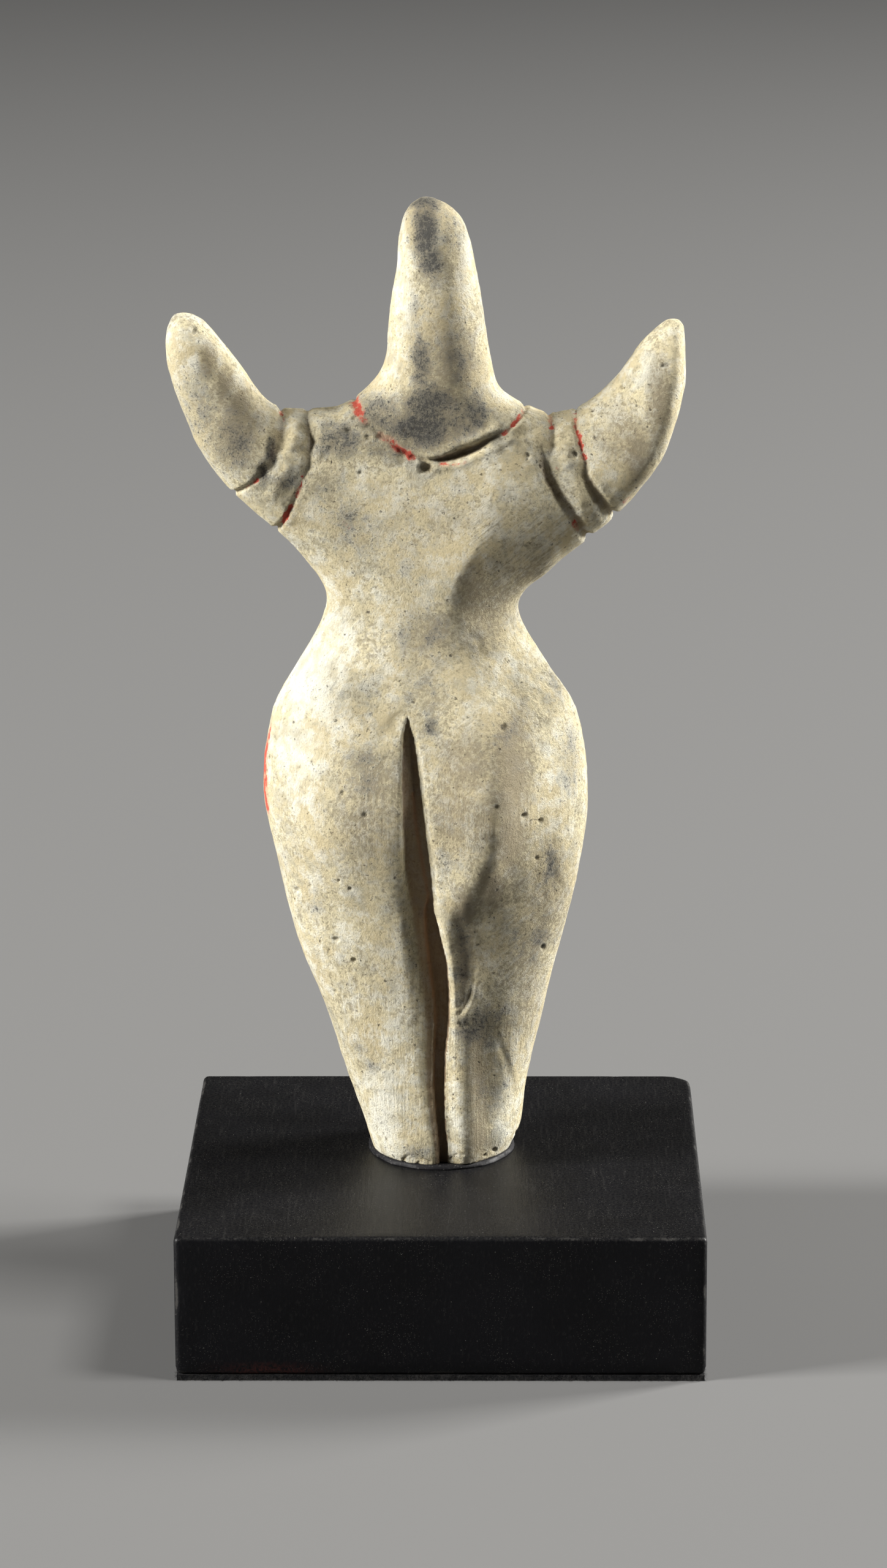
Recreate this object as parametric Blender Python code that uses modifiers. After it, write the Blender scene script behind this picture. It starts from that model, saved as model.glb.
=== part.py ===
# Fertility figurine of fired clay, fixed with wax to a black wooden display block that is lined with felt.
# Units are metres and +Z is up. The origin is at the centre of the felt's underside, and the side of the
# figure with the long cleft faces -Y.

import math

import bmesh
import bpy
from mathutils import Vector
from mathutils.bvhtree import BVHTree

# Display block
BLOCK_WIDTH = 0.080
BLOCK_DEPTH = 0.082
BLOCK_HEIGHT = 0.0219
BLOCK_EDGE_RADIUS = 0.0009

# Felt lining under the block
FELT_THICKNESS = 0.0006
FELT_INSET = 0.0002
FELT_EDGE_RADIUS = 0.00015

# Wax pad under the foot. Its profile, from the block up: share of the thickness, share of the overhang.
WAX_THICKNESS = 0.0004
WAX_OVERHANG = 0.0006
WAX_PROFILE = ((0.0, 1.0), (0.5, 1.0), (1.0, 0.4))

# Figure
FIGURE_HEIGHT = 0.1492
FOOT_SETBACK = 0.0046

# Touching pieces keep this gap
FIT_GAP = 0.0003

# Levels, worked out from the sizes above
BLOCK_FLOOR = FELT_THICKNESS + FIT_GAP
WAX_FLOOR = BLOCK_FLOOR + BLOCK_HEIGHT + FIT_GAP
FIGURE_FLOOR = WAX_FLOOR + WAX_THICKNESS + FIT_GAP

# The figure is free form. It is drawn in hundredths of its height, from the middle of the foot's underside:
# across to the right, up, and away from the side with the cleft.
SHARE = FIGURE_HEIGHT / 100

# Body sections, foot to crown: height, left and right edge, depth on the near and on the far side, and how
# boxy the section is: 2 is an ellipse, and more is nearer to a box.
BODY = {
    "under the foot": (-2.0, -7.1, 6.5, 8.4, 6.2, 2.1),
    "foot": (0.2, -7.8, 7.3, 8.9, 6.9, 2.1),
    "heel": (2.0, -8.3, 8.2, 8.9, 7.3, 2.2),
    "ankle": (6.5, -9.6, 8.8, 8.6, 7.4, 2.4),
    "calf": (14.5, -12.2, 10.5, 8.5, 7.8, 2.5),
    "knee": (22.6, -15.3, 12.5, 8.9, 8.5, 2.4),
    "thigh": (30.6, -17.2, 14.4, 9.4, 9.0, 2.3),
    "hip": (38.5, -18.6, 15.2, 9.6, 9.3, 2.2),
    "loin": (46.4, -17.7, 14.1, 9.0, 8.5, 1.9),
    "flank": (51.5, -15.1, 11.0, 7.6, 7.1, 1.8),
    "waist": (57.2, -12.2, 7.9, 5.9, 5.7, 1.9),
    "midriff": (60.6, -12.5, 9.9, 5.5, 5.4, 2.2),
    "ribs": (64.6, -16.0, 14.3, 5.4, 5.3, 2.6),
    "chest": (71.0, -21.5, 19.5, 5.2, 5.1, 2.7),
    "shoulder": (76.6, -13.5, 12.5, 5.2, 5.1, 2.4),
    "collar": (79.6, -8.4, 6.5, 5.4, 5.3, 2.1),
    "neck": (82.8, -5.9, 5.2, 5.4, 5.3, 2.0),
    "face": (87.7, -5.3, 4.6, 5.0, 4.8, 2.0),
    "brow": (92.9, -4.3, 3.8, 4.2, 4.0, 2.0),
    "temple": (96.5, -4.2, 2.8, 3.5, 3.4, 2.0),
    "crown": (99.3, -3.1, 0.6, 1.6, 1.6, 2.0),
    "top": (100.1, -2.0, -0.9, 0.5, 0.5, 2.0),
}

# Swells of the near side: middle (across and height), reach (across, up and down), rise and sideways lean.
SWELLS = {
    "left seat": ((-9.8, 36.3), (11.0, 13.5, 11.5), 2.0, 0.05),
    "right seat": ((5.6, 38.0), (9.4, 13.0, 17.0), 2.2, 0.14),
    "spine": ((-1.2, 55.0), (4.0, 9.0, 9.0), -0.6, 0.0),
    "right ribs": ((12.0, 63.0), (8.0, 5.0, 7.0), -0.9, 0.7),
}

# Creases of the near side, each a few sections from its lower to its upper end: height, where the crease is,
# its reach to the left and to the right, and its rise, which is negative in a hollow.
CREASES = {
    "left of the cleft": (
        (24.0, -4.6, 4.0, 1.5, 0.0),
        (30.0, -4.4, 4.0, 1.5, 0.4),
        (44.0, -4.2, 4.0, 1.5, 0.4),
        (48.0, -3.6, 4.0, 1.5, 0.0),
    ),
    "right of the cleft": (
        (-2.0, 3.2, 2.2, 3.0, 0.5),
        (16.0, 1.3, 1.2, 4.6, 0.6),
        (27.1, 0.4, 1.5, 4.5, 0.8),
        (30.6, 1.7, 3.0, 3.6, 1.0),
        (34.7, 3.9, 5.0, 2.9, 1.1),
        (40.6, 5.1, 6.0, 2.6, 1.1),
        (45.7, 4.3, 6.0, 2.6, 0.7),
        (49.5, 3.6, 6.0, 3.0, 0.0),
    ),
    "right shin": (
        (-2.0, 4.8, 2.4, 2.0, -0.4),
        (8.0, 4.4, 2.4, 2.4, -0.8),
        (15.0, 4.2, 2.2, 2.6, -0.55),
        (20.0, 4.4, 2.0, 2.5, 0.0),
    ),
    "chest": (
        (51.0, -0.8, 7.0, 4.0, 0.0),
        (55.7, -0.3, 7.0, 6.0, 0.7),
        (59.7, 0.9, 10.0, 7.0, 1.1),
        (67.9, 3.3, 13.0, 10.0, 1.4),
        (73.7, 5.7, 14.0, 8.0, 0.6),
        (77.0, 7.0, 12.0, 8.0, 0.0),
    ),
}

# Arm sections, chest to tip: a point under the arm, the point over it, the thickness between near and far,
# and how far towards its over side the near side stands out most, as a share of the section.
LEFT_ARM = {
    "chest": ((-4.0, 59.0), (-4.0, 78.5), 9.4, 0.0),
    "armpit": ((-11.9, 60.4), (-8.7, 78.5), 9.2, 0.0),
    "shoulder": ((-15.2, 63.9), (-13.1, 78.3), 9.3, 0.0),
    "band": ((-18.7, 66.6), (-16.7, 78.4), 9.3, 0.0),
    "elbow": ((-22.1, 70.2), (-18.7, 80.1), 9.0, 0.0),
    "forearm": ((-25.1, 74.6), (-21.1, 83.5), 8.4, 0.0),
    "wrist": ((-27.9, 81.3), (-24.1, 87.2), 6.8, 0.0),
    "hand": ((-28.3, 84.9), (-25.9, 88.1), 4.6, 0.0),
    "tip": ((-27.8, 87.4), (-27.0, 88.3), 1.6, 0.0),
}
RIGHT_ARM = {
    "chest": ((2.7, 59.0), (2.7, 78.3), 9.4, 0.0),
    "armpit": ((9.3, 60.0), (8.1, 78.3), 9.2, 0.0),
    "shoulder": ((12.7, 62.8), (12.1, 77.8), 9.3, 0.0),
    "band": ((18.2, 66.8), (15.6, 79.4), 9.2, -0.2),
    "elbow": ((21.6, 70.7), (18.3, 82.0), 8.9, -0.4),
    "forearm": ((23.6, 74.8), (20.4, 85.0), 8.2, -0.45),
    "wrist": ((24.8, 80.4), (22.8, 87.3), 6.0, -0.3),
    "hand": ((24.9, 84.0), (24.0, 87.6), 3.6, -0.1),
    "tip": ((24.8, 86.9), (24.5, 87.5), 1.0, 0.0),
}

# The cleft, tip to foot: height, where its left slope starts, where the slot in its floor starts, its right
# edge, where the lip right of that edge ends, and the depths of the slope, the slot and the lip.
CLEFT = {
    "tip": (48.2, -3.7, -3.4, -3.2, -3.0, 0.05, 0.1, 0.03),
    "top": (45.5, -4.1, -3.6, -2.7, -2.2, 1.0, 1.3, 0.2),
    "seat": (38.8, -4.25, -3.6, -1.9, -1.2, 1.3, 1.7, 0.3),
    "fold": (30.4, -4.3, -2.6, -1.0, -0.3, 1.3, 2.1, 0.3),
    "thigh": (21.0, -3.6, -1.3, 0.6, 1.3, 1.0, 2.4, 0.3),
    "calf": (11.0, -2.6, -1.0, 0.4, 1.6, 0.6, 2.0, 0.45),
    "ankle": (3.8, -1.8, -0.8, 0.4, 2.3, 0.35, 1.5, 0.6),
    "foot": (-2.0, -1.1, -0.5, 0.6, 2.6, 0.2, 1.3, 0.5),
}
CLEFT_RISE = 1.5
SLOT_TAPER = 0.15

# Carved lines. An arm line goes round the arm through a point over it, one on its near side and one under it.
LINE_WIDTH = 1.3
ARM_LINES = {
    "left outer": ((-16.3, 78.6), (-17.3, 73.4), (-21.4, 69.4)),
    "left inner": ((-13.6, 78.3), (-13.7, 73.0), (-17.0, 65.9)),
    "right inner": ((10.7, 78.3), (11.0, 72.0), (14.8, 64.8)),
    "right outer": ((13.6, 78.7), (14.7, 72.4), (18.2, 66.7)),
}
# The neckline goes round the neck: its lowest point, its two highest ones, and how far it drops behind.
NECKLINE = {"low": (0.6, 73.5), "left": (-9.3, 79.2), "right": (9.0, 78.7), "far drop": 3.6}
# The line between the legs on the far side: its top and its bottom.
LEG_LINE = {"top": (-1.6, 36.0), "bottom": (0.2, -2.0)}

# Fineness of the meshes
RING_POINTS = 64
STEPS_BETWEEN_SECTIONS = 4
LINE_POINTS = 28
CLAY_GRAIN = 0.6
SMOOTH_PASSES = 6
FACES_KEPT = 0.09
EDGE_STEPS = 3


def blend(before, start, end, after, share):
    """A smooth step from start to end that also leads on from before and towards after."""
    rise_in = (end - before) / 2
    rise_out = (after - start) / 2
    square = share * share
    cube = square * share
    return (
        (2 * cube - 3 * square + 1) * start
        + (cube - 2 * square + share) * rise_in
        + (3 * square - 2 * cube) * end
        + (cube - square) * rise_out
    )


def with_steps(sections):
    """The sections with smooth in-between sections added, each a list of plain numbers."""
    smooth = []
    last = len(sections) - 1
    for index in range(last):
        before = sections[max(index - 1, 0)]
        after = sections[min(index + 2, last)]
        for step in range(STEPS_BETWEEN_SECTIONS):
            share = step / STEPS_BETWEEN_SECTIONS
            values = zip(before, sections[index], sections[index + 1], after)
            smooth.append([blend(*four, share) for four in values])
    smooth.append(list(sections[last]))
    return smooth


def in_figure(across, height, away=0.0):
    """A point of the figure in metres."""
    return Vector((across * SHARE, FOOT_SETBACK + away * SHARE, FIGURE_FLOOR + height * SHARE))


def squared(value, boxiness):
    """A sine or cosine bent so that a section is boxier than an ellipse."""
    return math.copysign(abs(value) ** (2 / boxiness), value)


def swelling(across, height):
    """How far the near side swells out at this place."""
    total = 0.0
    for middle, (reach, up, down), rise, lean in SWELLS.values():
        climb = height - middle[1]
        sideways = (across - middle[0] - lean * climb) / reach
        upright = climb / (up if climb > 0 else down)
        left_over = max(0.0, 1 - sideways ** 2 - upright ** 2)
        total += rise * left_over ** 2
    for sections in CREASES.values():
        total += crease_rise(sections, across, height)
    return total


def crease_rise(sections, across, height):
    """How far a crease lifts the skin at this place: most on its line, and nothing past its reach."""
    for lower, upper in zip(sections, sections[1:]):
        if lower[0] <= height < upper[0]:
            share = (height - lower[0]) / (upper[0] - lower[0])
            middle, left, right, rise = (low + (high - low) * share for low, high in zip(lower[1:], upper[1:]))
            off = across - middle
            left_over = max(0.0, 1 - abs(off) / (left if off < 0 else right))
            return rise * left_over ** 1.5
    return 0.0


def body_outline(height, left, right, near, far, boxiness):
    """Across and away values of one level section of the body."""
    outline = []
    for index in range(RING_POINTS):
        angle = 2 * math.pi * index / RING_POINTS
        across = (left + right) / 2 + squared(math.cos(angle), boxiness) * (right - left) / 2
        share = squared(math.sin(angle), boxiness)
        depth = far if share > 0 else near + swelling(across, height)
        outline.append((across, share * depth))
    return outline


def body_ring(height, *sizes):
    return [in_figure(across, height, away) for across, away in body_outline(height, *sizes)]


def arm_ring(under_across, under_height, over_across, over_height, thickness, crest):
    """A section square to the arm: an ellipse between a point under it and a point over it."""
    ring = []
    for index in range(RING_POINTS):
        angle = 2 * math.pi * index / RING_POINTS
        share = (1 + math.cos(angle)) / 2
        if math.sin(angle) < 0:
            share += crest * math.sin(angle) ** 2 / 2
        across = under_across + (over_across - under_across) * share
        height = under_height + (over_height - under_height) * share
        ring.append(in_figure(across, height, math.sin(angle) * thickness / 2))
    return ring


def add_loft(mesh, rings):
    """Adds a closed skin through rings of equally many points."""
    loops = [[mesh.verts.new(point) for point in ring] for ring in rings]
    count = len(loops[0])
    for lower, upper in zip(loops, loops[1:]):
        for index in range(count):
            after = (index + 1) % count
            mesh.faces.new((lower[index], lower[after], upper[after], upper[index]))
    mesh.faces.new(list(reversed(loops[0])))
    mesh.faces.new(loops[-1])


def new_object(name, mesh, collection):
    """Turns a bmesh into an object of the collection, with its faces pointing out."""
    bmesh.ops.recalc_face_normals(mesh, faces=mesh.faces)
    data = bpy.data.meshes.new(name)
    mesh.to_mesh(data)
    mesh.free()
    thing = bpy.data.objects.new(name, data)
    collection.objects.link(thing)
    return thing


def make_clay_lump(collection):
    """The uncut figure: body and arms pressed into one lump and smoothed."""
    mesh = bmesh.new()
    add_loft(mesh, [body_ring(*section) for section in with_steps(list(BODY.values()))])
    for arm in (LEFT_ARM, RIGHT_ARM):
        sections = [(*under, *over, thickness, crest) for under, over, thickness, crest in arm.values()]
        add_loft(mesh, [arm_ring(*section) for section in with_steps(sections)])
    figure = new_object("figurine", mesh, collection)
    press = figure.modifiers.new("press into one lump", "REMESH")
    press.mode = "VOXEL"
    press.voxel_size = CLAY_GRAIN * SHARE
    smooth = figure.modifiers.new("smooth by hand", "SMOOTH")
    smooth.factor = 0.5
    smooth.iterations = SMOOTH_PASSES
    return figure


def skin_of(thing):
    """A search tree of the object's evaluated faces."""
    return BVHTree.FromObject(thing, bpy.context.evaluated_depsgraph_get())


def near_skin(skin, across, height):
    """Where the near side of the skin lies at this place."""
    start = in_figure(across, height, -100)
    spot = skin.ray_cast(start, Vector((0, 1, 0)))[0]
    if spot is None:
        spot = skin.find_nearest(in_figure(across, height))[0]
    return spot.y


def cut(figure, cutter):
    """Cuts the cutter's shape out of the figure."""
    cutter.hide_render = True
    cutter.display_type = "WIRE"
    knife = figure.modifiers.new("cut " + cutter.name, "BOOLEAN")
    knife.operation = "DIFFERENCE"
    knife.solver = "EXACT"
    knife.object = cutter


def make_line_cutter(name, path, cyclic, collection):
    """A round cutter along a path of points on the skin."""
    curve = bpy.data.curves.new(name, "CURVE")
    curve.dimensions = "3D"
    curve.bevel_depth = LINE_WIDTH * SHARE / 2
    curve.bevel_resolution = 1
    curve.use_fill_caps = True
    spline = curve.splines.new("POLY")
    spline.points.add(len(path) - 1)
    for point, place in zip(spline.points, path):
        point.co = (*place, 1.0)
    spline.use_cyclic_u = cyclic
    drawn = bpy.data.objects.new(name + " curve", curve)
    collection.objects.link(drawn)
    evaluated = drawn.evaluated_get(bpy.context.evaluated_depsgraph_get())
    tube = bmesh.new()
    tube.from_mesh(bpy.data.meshes.new_from_object(evaluated))
    bmesh.ops.remove_doubles(tube, verts=tube.verts, dist=SHARE / 1000)
    bpy.data.objects.remove(drawn, do_unlink=True)
    return new_object(name, tube, collection)


def arm_line_path(skin, over, side, under):
    """A closed path round the arm, bent so that it passes its middle point on both sides."""
    half_thickness = LEFT_ARM["shoulder"][2] / 2
    path = []
    for index in range(LINE_POINTS):
        angle = 2 * math.pi * index / LINE_POINTS
        share = (1 - math.cos(angle)) / 2
        weights = ((1 - share) * (1 - 2 * share), 4 * share * (1 - share), share * (2 * share - 1))
        across = sum(weight * point[0] for weight, point in zip(weights, (over, side, under)))
        height = sum(weight * point[1] for weight, point in zip(weights, (over, side, under)))
        guess = in_figure(across, height, -math.sin(angle) * half_thickness)
        path.append(skin.find_nearest(guess)[0])
    return path


def neckline_path(skin):
    """A closed path round the neck: a V on the near side and a shallower one on the far side."""
    low = NECKLINE["low"]
    path = []
    for index in range(LINE_POINTS):
        angle = 2 * math.pi * index / LINE_POINTS
        end = NECKLINE["right"] if math.cos(angle) > 0 else NECKLINE["left"]
        share = abs(math.cos(angle))
        near = math.sin(angle) < 0
        drop = end[1] - low[1] if near else NECKLINE["far drop"]
        across = low[0] + (end[0] - low[0]) * share
        height = end[1] - drop * (1 - share)
        depth = BODY["shoulder"][3] if near else BODY["shoulder"][4]
        guess = in_figure(across, height, math.sin(angle) * depth)
        path.append(skin.find_nearest(guess)[0])
    return path


def leg_line_path(skin):
    """A straight line down the far side of the legs."""
    path = []
    for index in range(LINE_POINTS):
        share = index / (LINE_POINTS - 1)
        across = LEG_LINE["top"][0] + (LEG_LINE["bottom"][0] - LEG_LINE["top"][0]) * share
        height = LEG_LINE["top"][1] + (LEG_LINE["bottom"][1] - LEG_LINE["top"][1]) * share
        start = in_figure(across, height, 100)
        spot = skin.ray_cast(start, Vector((0, -1, 0)))[0]
        path.append(spot if spot is not None else path[-1] - Vector((0, 0, SHARE)))
    return path


def make_cleft_cutter(skin, collection):
    """A cutter with a gentle left slope, a slot, a steep right wall and a low lip, following the near skin."""
    mesh = bmesh.new()
    rings = []
    for height, slope, slot, edge, lip, slope_depth, slot_depth, lip_depth in with_steps(list(CLEFT.values())):
        left = near_skin(skin, slope, height)
        right = near_skin(skin, lip, height)
        taper = (edge - slot) * SLOT_TAPER
        profile = (
            (slope, 0), (slot, slope_depth), (slot + taper, slot_depth), (edge - taper, slot_depth),
            (edge, lip_depth), (lip, 0), (lip, -CLEFT_RISE), (slope, -CLEFT_RISE),
        )
        ring = []
        for across, depth in profile:
            point = in_figure(across, height)
            point.y = left + (right - left) * (across - slope) / (lip - slope) + depth * SHARE
            ring.append(point)
        rings.append(ring)
    add_loft(mesh, rings)
    return new_object("cleft", mesh, collection)


def make_floor_cutter(collection):
    """A slab under the figure that gives the foot its flat underside."""
    mesh = bmesh.new()
    bmesh.ops.create_cube(mesh, size=1.0)
    size = Vector((40 * SHARE, 40 * SHARE, 10 * SHARE))
    bmesh.ops.scale(mesh, vec=size, verts=mesh.verts)
    bmesh.ops.translate(mesh, vec=in_figure(0, -5), verts=mesh.verts)
    return new_object("floor", mesh, collection)


def make_figurine(collection, cutters):
    figure = make_clay_lump(collection)
    skin = skin_of(figure)
    thin = figure.modifiers.new("fewer faces", "DECIMATE")
    thin.ratio = FACES_KEPT
    cut(figure, make_floor_cutter(cutters))
    cut(figure, make_cleft_cutter(skin, cutters))
    for name, points in ARM_LINES.items():
        cut(figure, make_line_cutter("arm line " + name, arm_line_path(skin, *points), True, cutters))
    cut(figure, make_line_cutter("neckline", neckline_path(skin), True, cutters))
    cut(figure, make_line_cutter("leg line", leg_line_path(skin), False, cutters))
    return figure


def make_wax(collection):
    """A thin pad that follows the foot's outline and bulges a little past it."""
    height, left, right, near, far, boxiness = BODY["foot"]
    reach = WAX_OVERHANG / SHARE
    rings = []
    for level, share in WAX_PROFILE:
        spread = reach * share
        wider = (left - spread, right + spread, near + spread, far + spread)
        outline = body_outline(height, *wider, boxiness)
        floor = Vector((0, FOOT_SETBACK, WAX_FLOOR + WAX_THICKNESS * level))
        rings.append([floor + Vector((across * SHARE, away * SHARE, 0)) for across, away in outline])
    mesh = bmesh.new()
    add_loft(mesh, rings)
    return new_object("mounting_wax", mesh, collection)


def make_slab(name, width, depth, height, floor, edge_radius, collection):
    """A box standing on a level, with every edge rounded."""
    mesh = bmesh.new()
    bmesh.ops.create_cube(mesh, size=1.0)
    bmesh.ops.scale(mesh, vec=Vector((width, depth, height)), verts=mesh.verts)
    bmesh.ops.translate(mesh, vec=Vector((0, 0, floor + height / 2)), verts=mesh.verts)
    slab = new_object(name, mesh, collection)
    edges = slab.modifiers.new("rounded edges", "BEVEL")
    edges.width = edge_radius
    edges.segments = EDGE_STEPS
    return slab


def new_material(name, colour, roughness):
    material = bpy.data.materials.new(name)
    material.use_nodes = True
    shader = material.node_tree.nodes["Principled BSDF"]
    shader.inputs["Base Color"].default_value = (*colour, 1.0)
    shader.inputs["Roughness"].default_value = roughness
    shader.inputs["Metallic"].default_value = 0.0
    return material


def make_model():
    for thing in list(bpy.data.objects):
        bpy.data.objects.remove(thing, do_unlink=True)
    parts = bpy.data.collections.new("fertility figurine")
    cutters = bpy.data.collections.new("cutters")
    bpy.context.scene.collection.children.link(parts)
    bpy.context.scene.collection.children.link(cutters)

    felt = make_slab(
        "felt", BLOCK_WIDTH - 2 * FELT_INSET, BLOCK_DEPTH - 2 * FELT_INSET,
        FELT_THICKNESS, 0.0, FELT_EDGE_RADIUS, parts,
    )
    block = make_slab(
        "block", BLOCK_WIDTH, BLOCK_DEPTH, BLOCK_HEIGHT, BLOCK_FLOOR, BLOCK_EDGE_RADIUS, parts,
    )
    wax = make_wax(parts)
    figure = make_figurine(parts, cutters)

    felt.data.materials.append(new_material("black felt", (0.012, 0.012, 0.013), 0.95))
    block.data.materials.append(new_material("black painted wood", (0.018, 0.018, 0.020), 0.6))
    wax.data.materials.append(new_material("black wax", (0.010, 0.010, 0.011), 0.25))
    figure.data.materials.append(new_material("fired clay", (0.62, 0.53, 0.38), 0.85))
    wax.data.shade_smooth()
    figure.data.shade_smooth()


make_model()
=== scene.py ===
import math
import random

import bmesh
import bpy
import numpy as np
from mathutils import Matrix, Vector, noise


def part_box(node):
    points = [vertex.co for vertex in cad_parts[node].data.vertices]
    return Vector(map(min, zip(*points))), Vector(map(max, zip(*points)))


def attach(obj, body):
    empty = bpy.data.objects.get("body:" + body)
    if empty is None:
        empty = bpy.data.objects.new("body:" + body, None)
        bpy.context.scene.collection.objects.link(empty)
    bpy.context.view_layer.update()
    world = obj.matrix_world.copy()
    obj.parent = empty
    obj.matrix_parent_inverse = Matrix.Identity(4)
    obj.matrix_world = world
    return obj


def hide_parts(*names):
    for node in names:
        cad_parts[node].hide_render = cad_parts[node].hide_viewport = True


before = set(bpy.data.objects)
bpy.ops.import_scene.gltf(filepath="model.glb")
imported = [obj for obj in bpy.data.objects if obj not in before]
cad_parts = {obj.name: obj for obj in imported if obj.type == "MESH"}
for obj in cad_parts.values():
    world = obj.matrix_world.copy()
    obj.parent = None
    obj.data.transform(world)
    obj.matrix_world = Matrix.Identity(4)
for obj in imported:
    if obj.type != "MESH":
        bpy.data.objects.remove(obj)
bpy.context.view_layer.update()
mm = 0.001
print("frame loaded:", ", ".join(sorted(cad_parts)))

# The figure is free form. Its places are in hundredths of its height: across from the middle of the foot,
# up from its underside, and away from the side with the long cleft. Widths and depths of marks are in mm.
figure = {
    "height": 149.2 * mm,
    "setBack": 4.6 * mm,
    "ringPoints": 64,
    "stepsBetween": 4,
    "grain": 0.9 * mm,        # spacing of the mesh before it is refined
    "smoothPasses": 6,
    "lastPasses": 3,          # of smoothing, once the near side is refined
    "nearFacing": 0.15,       # a face whose normal has a lower Y is refined, as the near side is
    "fineReach": 1.6,         # mm round a mark on the far side in which the mesh is refined
    "finestReach": 0.25,      # mm round a mark in which it is refined again
    "farMargin": 0.7,         # mm by which the marks of the far side are refined less
    # height, left and right edge, depth on the near and on the far side, boxiness
    "body": [
        (-2, -7.1, 6.5, 8.4, 6.2, 2.1),
        (0.2, -7.8, 7.3, 8.9, 6.9, 2.1),
        (2, -8.3, 8.2, 8.9, 7.3, 2.2),
        (6.5, -9.6, 8.8, 8.6, 7.4, 2.4),
        (14.5, -12.2, 10.5, 8.5, 7.8, 2.5),
        (22.6, -15.3, 12.5, 8.9, 8.5, 2.4),
        (30.6, -17.2, 14.4, 9.4, 9, 2.3),
        (38.5, -18.6, 15.2, 9.6, 9.3, 2.2),
        (46.4, -17.7, 14.1, 9, 8.5, 1.9),
        (51.5, -15.1, 11, 7.6, 7.1, 1.8),
        (57.2, -12, 7.9, 5.9, 5.7, 1.9),
        (60.6, -12.5, 9.9, 5.5, 5.4, 2.2),
        (64.6, -15.8, 14.1, 5.4, 5.3, 2.6),
        (71, -21.5, 19.5, 5.2, 5.1, 2.7),
        (76.6, -13.5, 12.5, 5.2, 5.1, 2.4),
        (79.6, -8.4, 6.5, 5.4, 5.3, 2.1),
        (82.8, -5.9, 5.2, 5.4, 5.3, 2),
        (87.7, -5.3, 4.35, 5, 4.8, 2),
        (92.9, -4.45, 3.5, 4.2, 4, 2),
        (96.5, -4.2, 2.8, 3.5, 3.4, 2),
        (98.2, -3.8, 1.9, 2.5, 2.5, 2),
        (99.3, -3.1, 0.6, 1.6, 1.6, 2),
        (100.1, -2, -0.9, 0.5, 0.5, 2),
    ],
    # middle (across and height), reach (across, up and down), rise, sideways lean
    "swells": {
        "left seat": ((-9.8, 36.3), (11, 13.5, 11.5), 2, 0.05),
        "right seat": ((5.6, 38), (9.4, 13, 17), 2.2, 0.14),
        "spine": ((-1.2, 55), (4, 9, 9), -0.6, 0),
        "right ribs": ((12, 63), (8, 5, 7), -0.9, 0.7),
    },
    "rounded": ("right side of the cleft",),    # crests with a round top; the others are sharp
    # crests of the near side, from the foot up: height, across, reach to the left and right, rise
    "crests": {
        "left seat": [
            (24, -4.6, 4, 1.5, 0), (30, -4.4, 4, 1.5, 0.4), (44, -4.2, 4, 1.5, 0.4), (48, -3.6, 4, 1.5, 0),
        ],
        "right side of the cleft": [
            (-2, 3.2, 2.2, 3, 0.5), (8, 2.2, 1.6, 3.6, 0.6), (16, 1.3, 1.2, 4.6, 0.6),
            (22, 0.8, 1.2, 5, 0.6), (27.1, 0.8, 2, 3.8, 0.8), (28.7, 2.6, 4, 3.4, 1.1),
            (32, 4.6, 5.5, 3.3, 1.5), (35.2, 5.6, 6.5, 3.5, 1.9), (39.3, 5.8, 7, 3.7, 1.9),
            (42, 5.6, 7, 3.8, 1.6), (46, 5.1, 7, 3.8, 1.1), (50, 4.4, 7, 3.4, 0.5), (53, 4, 7, 3.4, 0),
        ],
        "right shin": [
            (-2, 4.8, 2.4, 2, -0.4), (8, 4.4, 2.4, 2.4, -0.8), (15, 4.2, 2.2, 2.6, -0.55),
            (20, 4.4, 2, 2.5, 0),
        ],
        "chest": [
            (51, -0.6, 7, 4, 0), (55.7, -0.1, 7, 5, 0.8), (59.7, 1.2, 10, 6, 1.3), (62, 2, 11, 7, 1.5),
            (64.3, 3.2, 12, 8, 1.5), (67, 5, 13, 8, 1.3), (70.6, 6, 14, 8, 0.9), (73.7, 6.5, 14, 8, 0.5),
            (77, 7, 12, 8, 0),
        ],
    },
    # point under the arm, point over it, thickness, and how far the near crest leans to the upper point
    "arms": [
        [
            (-4, 59, -4, 78.5, 9.4, 0),
            (-11.9, 60.4, -8.7, 78.5, 9.2, 0),
            (-15, 64.1, -13.1, 78.3, 9.3, 0),
            (-18.4, 66.9, -16.7, 78.4, 9.3, 0),
            (-22.1, 70.2, -18.7, 80.1, 9, 0),
            (-25.1, 74.6, -21.1, 83.5, 8.4, 0),
            (-27.6, 81.3, -24.1, 87.2, 6.8, 0),
            (-28, 84.9, -25.9, 88, 4.6, 0),
            (-27.6, 87.3, -26.9, 88.2, 1.6, 0),
        ],
        [
            (2.7, 59, 2.7, 78.3, 9.4, 0),
            (9.3, 60, 8.1, 78.3, 9.2, 0),
            (12.7, 62.8, 12.1, 77.8, 9.3, 0),
            (18, 67.2, 15.6, 79.4, 9.2, -0.25),
            (21.2, 71.1, 18.3, 82, 8.9, -0.5),
            (23.35, 75.1, 20.4, 85, 8.2, -0.55),
            (24.8, 80.4, 22.8, 87.3, 6, -0.3),
            (24.9, 84, 24, 87.6, 3.6, -0.1),
            (24.8, 86.9, 24.5, 87.5, 1, 0),
        ],
    ],
}
share = figure["height"] / 100
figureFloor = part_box("figurine")[0].z
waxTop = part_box("mounting_wax")[1].z      # the foot goes down to it

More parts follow.
